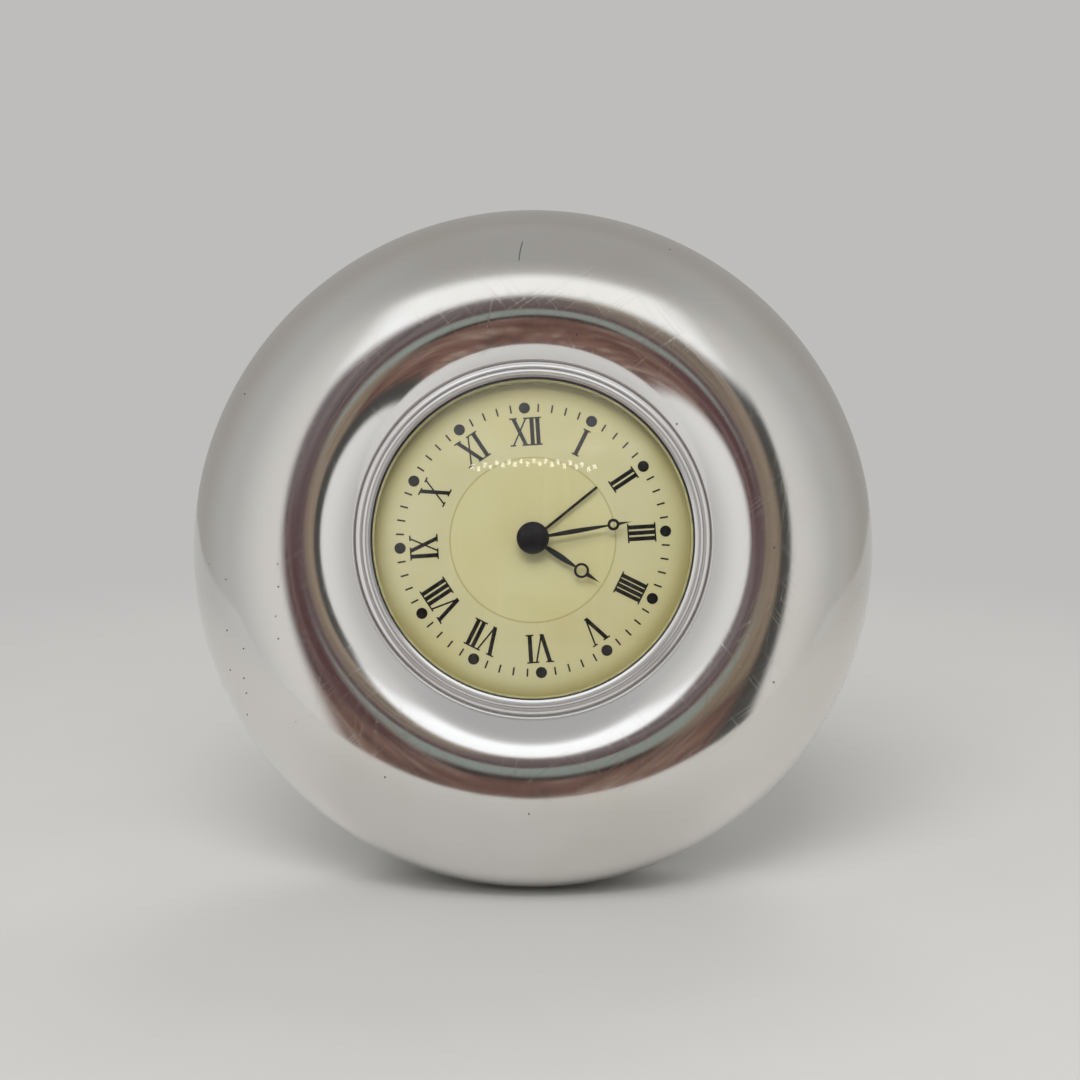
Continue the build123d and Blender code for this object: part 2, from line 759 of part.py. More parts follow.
def moulded_wheel(name, place, rims):
    """Wheel and pinion moulded on one arbor, whose ends turn in the two plates.

    Each rim is its teeth, module, tooth bearing, level behind the front plate and thickness.
    """
    with BuildPart() as wheel:
        with BuildSketch(station(place, rear_plate_front + end_shake)):
            Circle(arbor_radius)
        extrude(amount=plate_spacing - 2 * end_shake)
        with BuildSketch(station(place, rear_plate_front - pivot_length)):
            Circle(pivot_radius)
        extrude(amount=plate_spacing + 2 * pivot_length)
        for teeth, module, turn, level, thickness in rims:
            with BuildSketch(station(place, front_plate_rear - level - thickness)):
                tooth_outline(teeth, module, turn)
            extrude(amount=thickness)
    write_piece(wheel, name)


def wide(level):
    """Level of a pinion that stands past its wheel on both sides."""
    return level - pinion_overhang


# Wheels of the motion work and the going train that turn between the plates
pinion_length = wheel_thickness + 2 * pinion_overhang
hour_pinion_length = hour_wheel_thickness + 2 * pinion_overhang
moulded_wheel(
    "minute_wheel",
    minute_wheel_place,
    [
        (minute_wheel_teeth, motion_module, minute_wheel_turn, motion_level, wheel_thickness),
        (minute_pinion_teeth, hour_module, minute_pinion_turn, wide(hour_wheel_level), hour_pinion_length),
    ],
)
moulded_wheel(
    "third_wheel",
    third_place,
    [
        (third_wheel_teeth, third_module, 0, third_wheel_level, wheel_thickness),
        (train_pinion_teeth, train_module, third_pinion_turn, wide(centre_wheel_level), pinion_length),
    ],
)
moulded_wheel(
    "seconds_wheel",
    seconds_place,
    [
        (seconds_wheel_teeth, train_module, 0, seconds_wheel_level, wheel_thickness),
        (train_pinion_teeth, third_module, seconds_pinion_turn, wide(third_wheel_level), pinion_length),
    ],
)
moulded_wheel(
    "intermediate_wheel",
    intermediate_place,
    [
        (intermediate_wheel_teeth, train_module, 0, third_wheel_level, wheel_thickness),
        (train_pinion_teeth, train_module, intermediate_pinion_turn, wide(seconds_wheel_level), pinion_length),
    ],
)
moulded_wheel(
    "rotor_pinion",
    rotor_place,
    [(train_pinion_teeth, train_module, rotor_pinion_turn, wide(third_wheel_level), pinion_length)],
)

# Rotor magnet: a two-pole disc pressed on the rotor's arbor
with BuildPart() as rotor_magnet:
    with BuildSketch(station(rotor_place, front_plate_rear - magnet_level)):
        Circle(magnet_radius)
        Circle(arbor_radius, mode=Mode.SUBTRACT)
    extrude(amount=-magnet_length)
write_piece(rotor_magnet, "rotor_magnet")

# Heights of the hands above the dial
alarm_hand_rear = dial_front + alarm_hand_lift
hour_hand_rear = alarm_hand_rear + hand_spacing
minute_hand_rear = hour_hand_rear + hand_spacing
cap_rear = minute_hand_rear + hand_thickness + end_shake
arbor_tip = cap_rear + cap_height / 2

# Minute arbor: turned brass, with the cannon pinion, a clutch flange and a tip for the minute hand
cannon_front = front_plate_rear - wide(motion_level)
clutch_flange_rear = front_plate_rear - centre_wheel_level + end_shake
with BuildPart() as minute_arbor:
    with BuildSketch(insert_plane.offset(rear_plate_front + end_shake)):
        Circle(minute_arbor_radius)
    extrude(amount=arbor_tip - rear_plate_front - end_shake)
    with BuildSketch(insert_plane.offset(rear_plate_front - pivot_length)):
        Circle(pivot_radius)
    extrude(amount=pivot_length + end_shake)
    with BuildSketch(insert_plane.offset(clutch_flange_rear)):
        Circle(clutch_flange_radius)
    extrude(amount=cannon_front - pinion_length - clutch_flange_rear)
    with BuildSketch(insert_plane.offset(cannon_front - pinion_length)):
        tooth_outline(cannon_teeth, motion_module, 0)
    extrude(amount=pinion_length)
write_piece(minute_arbor, "minute_arbor")

# Centre wheel: turns the minute arbor through the slip clutch
centre_wheel_rear = front_plate_rear - centre_wheel_level - wheel_thickness
with BuildPart() as centre_wheel:
    with BuildSketch(insert_plane.offset(centre_wheel_rear)):
        tooth_outline(centre_wheel_teeth, train_module, 0)
        Circle(minute_arbor_radius + running_clearance, mode=Mode.SUBTRACT)
    extrude(amount=wheel_thickness)
write_piece(centre_wheel, "centre_wheel")

# Clutch spring: a washer on the arbor that presses the centre wheel against the flange
with BuildPart() as clutch_spring:
    with BuildSketch(insert_plane.offset(centre_wheel_rear - end_shake)):
        Circle(clutch_spring_radius)
        Circle(minute_arbor_radius, mode=Mode.SUBTRACT)
    extrude(amount=-clutch_spring_thickness)
write_piece(clutch_spring, "clutch_spring")


def tubed_wheel(name, teeth, module, level, thickness, bore, tube_end):
    """Wheel on a tube that runs forward through the dial to carry a hand."""
    rear = front_plate_rear - level - thickness
    with BuildPart() as wheel:
        with BuildSketch(insert_plane.offset(rear)):
            tooth_outline(teeth, module, 0)
        extrude(amount=thickness)
        with BuildSketch(insert_plane.offset(rear)):
            Circle(bore + tube_wall)
        extrude(amount=tube_end - rear)
        with BuildSketch(insert_plane.offset(rear)):
            Circle(bore)
        extrude(amount=tube_end - rear, mode=Mode.SUBTRACT)
    write_piece(wheel, name)


# Hour wheel and alarm wheel, one tube inside the other
tubed_wheel(
    "hour_wheel",
    hour_wheel_teeth,
    hour_module,
    hour_wheel_level,
    hour_wheel_thickness,
    hour_bore,
    hour_hand_rear + hand_thickness,
)
tubed_wheel(
    "alarm_wheel",
    alarm_wheel_teeth,
    motion_module,
    alarm_wheel_level,
    wheel_thickness,
    alarm_bore,
    alarm_hand_rear + hand_thickness,
)

# Alarm contact: a spring leaf under the hour wheel, fixed to the front plate's post
with BuildPart() as alarm_contact:
    with BuildSketch(insert_plane.offset(alarm_contact_front)):
        with BuildLine():
            Line(centre_place, polar(alarm_contact_reach + post_radius, alarm_contact_bearing))
        trace(line_width=alarm_contact_width)
        Circle(alarm_contact_radius)
        Circle(alarm_contact_bore, mode=Mode.SUBTRACT)
    extrude(amount=-alarm_contact_thickness)
write_piece(alarm_contact, "alarm_contact")

# Setting shafts and their knobs: the time pinion turns the minute wheel, the alarm gear the alarm wheel
knob_front = case_rear - knob_gap
knob_rear = knob_front - knob_height


def setting_shaft(name, place, teeth, turn, level):
    """Shaft from a rear knob to a toothed end, with a pivot in the front plate."""
    gear_front = front_plate_rear - wide(level)
    with BuildPart() as shaft:
        with BuildSketch(station(place, knob_rear + knob_floor)):
            Circle(setting_shaft_radius)
        extrude(amount=gear_front - knob_rear - knob_floor)
        with BuildSketch(station(place, gear_front - pinion_length)):
            tooth_outline(teeth, motion_module, turn)
        extrude(amount=pinion_length)
        with BuildSketch(station(place, gear_front)):
            Circle(pivot_radius)
        extrude(amount=front_plate_rear + pivot_length - gear_front)
    write_piece(shaft, name)


def setting_knob(name, place):
    """Fluted knob with a blind bore, pressed on the end of a setting shaft."""
    flutes = []
    for flute in range(knob_flute_count):
        bearing = flute * 360 / knob_flute_count
        flutes.append(polar(knob_radius, bearing))
        flutes.append(polar(knob_radius - knob_flute_depth, bearing + 180 / knob_flute_count))
    with BuildPart() as knob:
        with BuildSketch(station(place, knob_rear)):
            Polygon(*flutes, align=None)
        extrude(amount=knob_height)
        with BuildSketch(station(place, knob_rear + knob_floor)):
            Circle(setting_shaft_radius)
        extrude(amount=knob_height - knob_floor, mode=Mode.SUBTRACT)
    write_piece(knob, name)


setting_shaft("time_set_shaft", time_set_place, cannon_teeth, time_set_turn, motion_level)
setting_shaft("alarm_set_shaft", alarm_set_place, alarm_set_teeth, alarm_set_turn, alarm_wheel_level)
setting_knob("time_set_knob", time_set_place)
setting_knob("alarm_set_knob", alarm_set_place)

# Bearings of the hands on the dial
minute_bearing = 90 - 6 * minutes_shown
hour_bearing = 90 - 30 * (hours_shown + minutes_shown / 60)
alarm_bearing = 90 - alarm_minutes_shown / 2


def ringed_hand(name, rear, bearing, bore, hub_radius, blade_width, ring, eye, ring_distance, tip_distance):
    """Hand with a slim tapering blade, an open ring near its end and a needle tip."""
    plane = turned(insert_plane.offset(rear), bearing)
    with BuildPart() as hand:
        with BuildSketch(plane):
            Circle(hub_radius)
            Polygon(
                (0, -blade_width / 4),
                (ring_distance / 2, -blade_width / 2),
                (ring_distance - eye, -blade_width / 4),
                (ring_distance - eye, blade_width / 4),
                (ring_distance / 2, blade_width / 2),
                (0, blade_width / 4),
                align=None,
            )
            Polygon(
                (ring_distance + eye, -blade_width / 3),
                (tip_distance, -blade_width / 12),
                (tip_distance, blade_width / 12),
                (ring_distance + eye, blade_width / 3),
                align=None,
            )
            with Locations((ring_distance, 0)):
                Circle(ring)
                Circle(eye, mode=Mode.SUBTRACT)
            Circle(bore, mode=Mode.SUBTRACT)
        extrude(amount=hand_thickness)
    write_piece(hand, name)


ringed_hand(
    "hour_hand",
    hour_hand_rear,
    hour_bearing,
    hour_tube_radius,
    hour_hub_radius,
    hour_blade_width,
    hour_ring_radius,
    hour_eye_radius,
    hour_ring_distance,
    hour_tip_distance,
)
ringed_hand(
    "minute_hand",
    minute_hand_rear,
    minute_bearing,
    minute_arbor_radius,
    minute_hub_radius,
    minute_blade_width,
    minute_ring_radius,
    minute_eye_radius,
    minute_ring_distance,
    minute_tip_distance,
)

# Alarm hand: a plain short stick
with BuildPart() as alarm_hand:
    with BuildSketch(turned(insert_plane.offset(alarm_hand_rear), alarm_bearing)):
        Circle(alarm_hub_radius)
        Rectangle(alarm_hand_length, alarm_hand_width, align=(Align.MIN, Align.CENTER))
        Circle(alarm_tube_radius, mode=Mode.SUBTRACT)
    extrude(amount=hand_thickness)
write_piece(alarm_hand, "alarm_hand")

# Hub cap: a plain button over the end of the minute arbor
with BuildPart() as hub_cap:
    with BuildSketch(insert_plane.offset(cap_rear)):
        Circle(cap_radius)
    extrude(amount=cap_height)
    chamfer(hub_cap.faces().sort_by(clock_axis)[-1].edges(), cap_edge)
    with BuildSketch(insert_plane.offset(cap_rear)):
        Circle(minute_arbor_radius)
    extrude(amount=arbor_tip - cap_rear, mode=Mode.SUBTRACT)
write_piece(hub_cap, "hub_cap")

# Stator: a soft iron plate with a round hole for the rotor and two arms to the coil
with BuildPart() as stator:
    with BuildSketch(insert_plane.offset(board_rear)):
        with Locations(rotor_place):
            Circle(stator_bore + stator_ring)
        for arm_height in (upper_arm_height, lower_arm_height):
            arm_end = coil_distance + core_width / 2
            with BuildLine():
                Polyline(rotor_place, (arm_knee, arm_height), (arm_end, arm_height))
            trace(line_width=stator_arm_width)
        with Locations(rotor_place):
            Circle(stator_bore, mode=Mode.SUBTRACT)
    extrude(amount=board_thickness)
write_piece(stator, "stator")

# Coil: an iron core across the stator's arms, a flanged bobbin and its copper winding
core_bottom = lower_arm_height - stator_arm_width / 2
core_length = upper_arm_height - lower_arm_height + stator_arm_width
bobbin_bottom = lower_arm_height + stator_arm_width / 2 + bobbin_end_gap
bobbin_length = upper_arm_height - lower_arm_height - stator_arm_width - 2 * bobbin_end_gap
core_height = board_front + core_thickness / 2
coil_plane = Plane(
    origin=insert_plane.from_local_coords((coil_distance, bobbin_bottom, core_height)),
    x_dir=insert_plane.x_dir,
    z_dir=insert_plane.y_dir,
)
with BuildPart() as coil_core:
    with BuildSketch(coil_plane.offset(core_bottom - bobbin_bottom)):
        Rectangle(core_width, core_thickness)
    extrude(amount=core_length)
write_piece(coil_core, "coil_core")
with BuildPart() as coil_bobbin:
    with BuildSketch(coil_plane):
        Circle(bobbin_radius)
    extrude(amount=bobbin_length)
    flange_planes = (coil_plane, coil_plane.offset(bobbin_length - bobbin_flange_thickness))
    with BuildSketch(*flange_planes):
        Circle(bobbin_flange_radius)
    extrude(amount=bobbin_flange_thickness)
    with BuildSketch(coil_plane):
        Rectangle(core_width, core_thickness)
    extrude(amount=bobbin_length, mode=Mode.SUBTRACT)
write_piece(coil_bobbin, "coil_bobbin")
with BuildPart() as coil_winding:
    with BuildSketch(coil_plane.offset(bobbin_flange_thickness)):
        Circle(winding_radius)
        Circle(bobbin_radius, mode=Mode.SUBTRACT)
    extrude(amount=bobbin_length - 2 * bobbin_flange_thickness)
write_piece(coil_winding, "coil_winding")

# Circuit board: a segment of a disc at the foot of the movement, clear of one pillar
with BuildPart() as circuit_board:
    with BuildSketch(insert_plane.offset(board_rear)):
        Circle(board_radius)
        with Locations((0, board_edge)):
            Rectangle(2 * board_radius, board_radius, align=(Align.CENTER, Align.MAX), mode=Mode.INTERSECT)
        with Locations(*pillar_places):
            Circle(pillar_radius + pillar_hole_clearance, mode=Mode.SUBTRACT)
    extrude(amount=board_thickness)
write_piece(circuit_board, "circuit_board")

# Chip: a low round drop of resin on the board
with BuildPart() as chip:
    with BuildSketch(station(chip_place, board_front)):
        Circle(chip_radius)
    extrude(amount=chip_height, taper=30)
write_piece(chip, "chip")

# Crystal: a small metal can lying on the board
crystal_plane = Plane(
    origin=insert_plane.from_local_coords((*crystal_place, board_front + crystal_radius + seat_gap)),
    x_dir=insert_plane.y_dir,
    z_dir=insert_plane.x_dir,
)
with BuildPart() as crystal:
    with BuildSketch(crystal_plane):
        Circle(crystal_radius)
    extrude(amount=crystal_length / 2, both=True)
write_piece(crystal, "crystal")

# Button cell: a stepped disc that drops in from the back
cell_front = board_front
cell_rear = cell_front - cell_height
with BuildPart() as button_cell:
    with BuildSketch(station(cell_place, cell_rear)):
        Circle(cell_radius)
    extrude(amount=cell_height - cell_top_height)
    with BuildSketch(station(cell_place, cell_front)):
        Circle(cell_top_radius)
    extrude(amount=-cell_top_height)
write_piece(button_cell, "button_cell")

# Cell contacts: a flat strip over the front of the cell and a strip on edge against its side
with BuildPart() as cell_contact_front:
    with BuildSketch(insert_plane.offset(board_front)):
        with Locations((cell_place[0], cell_place[1] + contact_overrun)):
            contact_length = cell_place[1] + contact_overrun - contact_end
            Rectangle(contact_width, contact_length, align=(Align.CENTER, Align.MAX))
    extrude(amount=contact_thickness)
write_piece(cell_contact_front, "cell_contact_front")
side_contact_x = cell_place[0] - cell_radius - seat_gap - contact_thickness / 2
with BuildPart() as cell_contact_side:
    with BuildSketch(insert_plane.offset(board_front + contact_thickness)):
        with BuildLine():
            Polyline(
                (side_contact_x, cell_place[1] + contact_width),
                (side_contact_x, side_contact_knee),
                side_contact_foot,
            )
        trace(line_width=contact_thickness)
    extrude(amount=-side_contact_height)
    with BuildSketch(insert_plane.offset(board_front)):
        with BuildLine():
            Line(side_contact_foot, side_contact_tab_end)
        trace(line_width=side_contact_tab_width)
    extrude(amount=contact_thickness)
write_piece(cell_contact_side, "cell_contact_side")

# Cell cap: a coin-slotted disc whose two lugs turn in behind the case's back wall
cap_front = cell_rear - end_shake
cap_seat = case_rear - end_shake
with BuildPart() as cell_cap:
    with BuildSketch(station(cell_place, cap_seat)):
        Circle(cell_cap_radius)
    extrude(amount=-cell_cap_thickness)
    with BuildSketch(station(cell_place, cap_seat)):
        Circle(cap_plug_radius)
    extrude(amount=cap_front - cap_seat)
    with BuildSketch(station(cell_place, case_floor + switch_gap)):
        Circle(lug_radius)
        Rectangle(2 * lug_radius, cap_lug_width, mode=Mode.INTERSECT)
    extrude(amount=cap_lug_thickness)
    with BuildSketch(station(cell_place, cap_seat - cell_cap_thickness)):
        SlotOverall(coin_slot_length, coin_slot_width)
    extrude(amount=coin_slot_depth, mode=Mode.SUBTRACT)
write_piece(cell_cap, "cell_cap")

# Sounder: a thin disc on the case floor over the sound holes
with BuildPart() as sounder:
    with BuildSketch(station(sounder_place, case_floor)):
        Circle(sounder_radius)
    extrude(amount=sounder_thickness)
write_piece(sounder, "sounder")

# Alarm switch: a ridged button on a stem through the case's slot, held by a flange inside
button_front = case_rear - switch_gap
with BuildPart() as alarm_switch:
    with BuildSketch(station(switch_place, button_front)):
        Rectangle(switch_width, switch_button_length)
    extrude(amount=-switch_button_height)
    with BuildSketch(station(switch_place, button_front)):
        Rectangle(switch_stem, switch_stem_length)
    extrude(amount=case_back_wall + 2 * switch_gap)
    with BuildSketch(station(switch_place, case_floor + switch_gap)):
        Rectangle(switch_width, switch_stem_length)
    extrude(amount=switch_flange_thickness)
    with BuildSketch(station(switch_place, button_front - switch_button_height)):
        with GridLocations(0, 2 * switch_ridge_width, 1, 4):
            Rectangle(switch_width, switch_ridge_width)
    extrude(amount=switch_ridge_depth, mode=Mode.SUBTRACT)
write_piece(alarm_switch, "alarm_switch")
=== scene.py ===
import json
from math import asin, cos, degrees, pi, radians, sin, sqrt, tan

import bmesh
import bpy
from mathutils import Matrix, Vector


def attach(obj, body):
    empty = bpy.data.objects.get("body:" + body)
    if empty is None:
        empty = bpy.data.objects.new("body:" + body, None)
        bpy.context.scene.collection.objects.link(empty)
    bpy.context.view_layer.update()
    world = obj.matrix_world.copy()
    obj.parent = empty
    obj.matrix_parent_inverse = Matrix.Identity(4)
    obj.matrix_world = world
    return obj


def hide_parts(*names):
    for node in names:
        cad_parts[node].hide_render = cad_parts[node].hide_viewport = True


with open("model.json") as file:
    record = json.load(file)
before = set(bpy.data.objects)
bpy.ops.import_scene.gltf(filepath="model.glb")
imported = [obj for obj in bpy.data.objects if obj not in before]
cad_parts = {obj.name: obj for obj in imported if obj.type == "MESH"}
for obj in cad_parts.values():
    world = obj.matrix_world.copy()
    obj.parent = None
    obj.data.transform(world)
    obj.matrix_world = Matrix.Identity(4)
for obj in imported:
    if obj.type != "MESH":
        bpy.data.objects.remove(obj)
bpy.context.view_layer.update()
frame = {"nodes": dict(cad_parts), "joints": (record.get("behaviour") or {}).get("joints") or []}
scene = bpy.context.scene
scene.view_settings.view_transform = "Standard"

# Shell: a bowl spun from thin brass, its rim rolled to a round section and an inner collar turned in for
# the insert. It is silver plated and polished by hand, so it has a soft haze, fine hairlines and a few pits.
mm = 0.001
crest_radius = 37.0 * mm
section_radius = 19.0 * mm
mouth_radius = 28.6 * mm
mouth_drop = 3.65 * mm
lip_radius = 28.36 * mm
lip_height = 15.0 * mm
lip_slope = 36.0
collar_radius = 27.2 * mm
collar_rear = 8.0 * mm
back_depth = 13.0 * mm
flange_width = 7.4 * mm
shell_wall = 1.0 * mm
front_plate_rear = 8.6 * mm
lip_break = 0.05 * mm

# The hands' joint lies on the clock's axis, at the rear face of the movement's front plate
hands_joint = next(joint for joint in frame["joints"] if joint["name"] == "minute_turn")
forward = -Vector(hands_joint["axis"]).normalized()
rightward = Vector((1, 0, 0))
upward = forward.cross(rightward)
shell_centre = Vector(hands_joint["pos_m"]) - forward * front_plate_rear
clock = Matrix.Translation(shell_centre) @ Matrix((rightward, upward, forward)).transposed().to_4x4()


def arc(centre, radius, start, end, steps):
    """Points of an arc in a section, between two bearings in degrees, where 90 faces forward."""
    bearings = [radians(start + (end - start) * i / steps) for i in range(steps + 1)]
    return [(centre[0] + radius * cos(b), centre[1] + radius * sin(b)) for b in bearings]


def finished_mesh(name, shape, sharp_angle=40, place=clock):
    """Object from a bmesh in the clock's own axes, or others, smooth but for its edges."""
    bmesh.ops.remove_doubles(shape, verts=shape.verts, dist=1e-7)
    bmesh.ops.recalc_face_normals(shape, faces=shape.faces)
    for face in shape.faces:
        face.smooth = True
    mesh = bpy.data.meshes.new(name)
    shape.to_mesh(mesh)
    shape.free()
    mesh.transform(place)
    mesh.set_sharp_from_angle(angle=radians(sharp_angle))
    piece = bpy.data.objects.new(name, mesh)
    scene.collection.objects.link(piece)
    return piece


def join_rings(shape, rings):
    """Join closed rings of vertices in a bmesh, each to the next one."""
    for near, far in zip(rings, rings[1:]):
        for j in range(len(near)):
            k = (j + 1) % len(near)
            shape.faces.new((near[j], far[j], far[k], near[k]))


def spin(shape, section, steps, place=Matrix()):
    """Add a closed section of radii and heights, turned about an axis, to a bmesh."""
    rings = []
    for i in range(steps):
        c, s = cos(2 * pi * i / steps), sin(2 * pi * i / steps)
        rings.append([shape.verts.new(place @ Vector((r * c, r * s, h))) for r, h in section])
    join_rings(shape, rings + rings[:1])


def turned_piece(name, section, steps=192):
    """Piece turned about the clock's axis from a closed section of radii and heights."""
    shape = bmesh.new()
    spin(shape, section, steps)
    return finished_mesh(name, shape)


def fit(piece, finish, slot, body, *nodes):
    """Finish a piece, fix it to a body and let it stand for its solids."""
    piece.data.materials.append(finish.material)
    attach(piece, body)
    if nodes:
        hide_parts(*nodes)


def paint(red, green, blue):
    """Linear colour of a screen colour from 0 to 255."""
    parts = [part / 255 for part in (red, green, blue)]
    return (*(p / 12.92 if p <= 0.04045 else ((p + 0.055) / 1.055) ** 2.4 for p in parts), 1.0)


class Tone:
    """A socket of a finish. Sums on it add Math nodes."""

    def __init__(self, finish, socket):
        self.finish, self.socket = finish, socket

    def sum(self, operation, first, second):
        """One Math node on two values or sockets."""
        return self.finish.node("ShaderNodeMath", {"operation": operation}, {0: first, 1: second})

    def __add__(self, other):
        return self.sum("ADD", self, other)

    def __radd__(self, other):
        return self.sum("ADD", other, self)

    def __sub__(self, other):
        return self.sum("SUBTRACT", self, other)

    def __rsub__(self, other):
        return self.sum("SUBTRACT", other, self)

    def __mul__(self, other):
        return self.sum("MULTIPLY", self, other)

    def __rmul__(self, other):
        return self.sum("MULTIPLY", other, self)

    def __pow__(self, other):
        return self.sum("POWER", self, other)


class Finish:
    """A material in the making. Its place is the position in the clock's own axes, in metres."""

    def __init__(self, name, material=None):
        self.material = material or bpy.data.materials.new(name)
        self.material.use_nodes = True
        self.tree = self.material.node_tree
        self.shader = self.tree.nodes.get("Principled BSDF")

    def node(self, kind, settings=None, sockets=None, output=0):
        """Any node: its settings are made first, then the values or links of its sockets."""
        node = self.tree.nodes.new(kind)
        for key, value in (settings or {}).items():
            setattr(node, key, value)
        self.join(node, sockets or {})
        return Tone(self, node.outputs[output])

    def join(self, node, sockets):
        """Values or links of a node's sockets."""
        for key, value in sockets.items():
            if isinstance(value, Tone):
                self.tree.links.new(value.socket, node.inputs[key])
            else:
                node.inputs[key].default_value = value

    def place(self):
        """Position on the piece: right, up the face and forward."""
        position = self.node("ShaderNodeTexCoord", output="Object")
        sockets = {"Vector": position, "Location": shell_centre, "Rotation": clock.to_euler()}
        return self.node("ShaderNodeMapping", {"vector_type": "TEXTURE"}, sockets)

    def axes(self, vector):
        """The three parts of a vector."""
        split = self.node("ShaderNodeSeparateXYZ", {}, {0: vector}).socket.node
        return [Tone(self, split.outputs[i]) for i in range(3)]

    def noise(self, vector, scale, detail=3.0, roughness=0.55):
        """Soft noise with a number of swells to each unit of a vector."""
        sockets = {"Vector": vector, "Scale": scale, "Detail": detail, "Roughness": roughness}
        return self.node("ShaderNodeTexNoise", {}, sockets)

    def ramp(self, value, low, high, start=0.0, end=1.0):
        """Value eased from start to end between low and high."""
        sockets = {"Value": value, "From Min": low, "From Max": high, "To Min": start, "To Max": end}
        return self.node("ShaderNodeMapRange", {"interpolation_type": "SMOOTHSTEP"}, sockets)

    def blend(self, mask, first, second):
        """Colour that goes from first to second with a mask."""
        return self.node("ShaderNodeMix", {"data_type": "RGBA"}, {0: mask, 6: first, 7: second}, 2)

    def bump(self, height, strength, distance, normal=None):
        """Normal of a surface with a fine relief, on top of another normal or none."""
        sockets = {"Height": height, "Strength": strength, "Distance": distance}
        if normal:
            sockets["Normal"] = normal
        return self.node("ShaderNodeBump", {}, sockets)

    def speckle(self, vector, scale, rarity, size):
        """Sparse round spots on the face: a few cells of a grid each hold one."""
        flat = {"feature": "F1", "voronoi_dimensions": "2D"}
        cells = self.node("ShaderNodeTexVoronoi", flat, {"Vector": vector, "Scale": scale})
        chosen = self.axes(Tone(self, cells.socket.node.outputs["Color"]))
        return self.ramp(chosen[0], rarity, rarity + 0.01) * self.ramp(cells, size, size * 0.4)

    def scratches(self, vector, turn, rarity):
        """Fine straight scratches along one direction of the face, turned by some degrees."""
        stretch = (14.0 * mm, 0.15 * mm, 14.0 * mm)
        sockets = {"Vector": vector, "Rotation": (0, 0, radians(turn)), "Scale": stretch}
        drawn = self.node("ShaderNodeMapping", {"vector_type": "TEXTURE"}, sockets)
        return self.ramp(self.noise(drawn, 1.0, 1.0), rarity, rarity + 0.06)

    def set(self, **sockets):
        """The shader's own sockets, with words joined by underscores."""
        self.join(self.shader, {key.replace("_", " "): value for key, value in sockets.items()})


def polar_place(finish, turn_scale):
    """Position along a turned piece: radius and bearing, so that a texture runs in rings."""
    x, y, z = finish.axes(finish.place())
    radius = (x * x + y * y) ** 0.5
    bearing = x.sum("ARCTAN2", y, x)
    run = finish.node("ShaderNodeCombineXYZ", {}, {0: radius, 1: bearing * turn_scale, 2: z})
    return run, radius


inner_roll_radius = ((crest_radius - mouth_radius) ** 2 + mouth_drop**2) / (2 * mouth_drop)
inner_roll_height = section_radius - inner_roll_radius
inside_radius = section_radius - shell_wall
inside_roll_radius = inner_roll_radius - shell_wall
collar_root = lip_height - shell_wall
rear_bearing = degrees(asin(back_depth / section_radius))
inside_bearing = degrees(asin((back_depth - shell_wall) / inside_radius))
flare_radius = crest_radius - inner_roll_radius * sin(radians(lip_slope))
flare_height = inner_roll_height + inner_roll_radius * cos(radians(lip_slope))
mouth_height = flare_height - (flare_radius - lip_radius) * tan(radians(lip_slope))
root_rise = collar_root - inner_roll_height
root_bearing = degrees(asin(sqrt(inside_roll_radius**2 - root_rise**2) / inside_roll_radius))
rear_radius = crest_radius + sqrt(section_radius**2 - back_depth**2)
flange_radius = rear_radius - flange_width
shell_section = [
    *arc((crest_radius, 0), section_radius, -rear_bearing, 90, 60),
    *arc((crest_radius, inner_roll_height), inner_roll_radius, 90, 90 + lip_slope, 24)[1:],
    (lip_radius + lip_break, mouth_height + 0.6 * lip_break),
    (lip_radius, mouth_height - lip_break),
    (lip_radius, lip_height),
    (collar_radius, lip_height),
    (collar_radius, collar_rear),
    (collar_radius + shell_wall, collar_rear),
    (collar_radius + shell_wall, collar_root),
    *arc((crest_radius, inner_roll_height), inside_roll_radius, 90 + root_bearing, 90, 12),
    *arc((crest_radius, 0), inside_radius, 90, -inside_bearing, 36)[1:],
    (flange_radius, shell_wall - back_depth),
    (flange_radius, -back_depth),
]
silver = Finish("silver_plate")
face = silver.place()
face_right, face_up, _ = silver.axes(face)
rings, reach = polar_place(silver, 0.002)
hairlines = silver.noise(rings, 5200.0, 2.0)
haze = silver.noise(face, 90.0, 4.0)
handling = silver.noise(face, 28.0, 3.0)
worn = silver.ramp(handling, 0.4, 0.65, 0.35, 1.0)
crossing = silver.scratches(face, 35, 0.67) + silver.scratches(face, -52, 0.68)
wiped = worn * (crossing + silver.scratches(face, 80, 0.69))

# Pits lie here and there, and closer together low on the left. One dark scratch crosses the roll at the top
patch_middle = (-46.0 * mm, -17.0 * mm)
patch_core = 9.0 * mm
patch_radius = 18.0 * mm
patch_right = face_right - patch_middle[0]
patch_up = face_up - patch_middle[1]
patch = silver.ramp(patch_right * patch_right + patch_up * patch_up, patch_radius**2, patch_core**2)
pits = silver.speckle(face, 130.0, 0.9, 0.03) + patch * silver.speckle(face, 350.0, 0.78, 0.075)
scratch_foot = (-2.2 * mm, 44.0 * mm)
scratch_length = 4.2 * mm
scratch_bow = 0.7 * mm
scratch_core = 0.05 * mm
scratch_half = 0.13 * mm
scratch_run = (face_up - scratch_foot[1]) * (1 / scratch_length)
scratch_side = face_right - scratch_foot[0] - scratch_run * scratch_run * scratch_bow
scratch_ends = silver.ramp(scratch_run, 0.0, 0.15) * silver.ramp(scratch_run, 1.0, 0.8)
scratch = scratch_ends * silver.ramp(scratch_side * scratch_side, scratch_half**2, scratch_core**2)
flaws = pits.sum("MAXIMUM", pits, scratch)

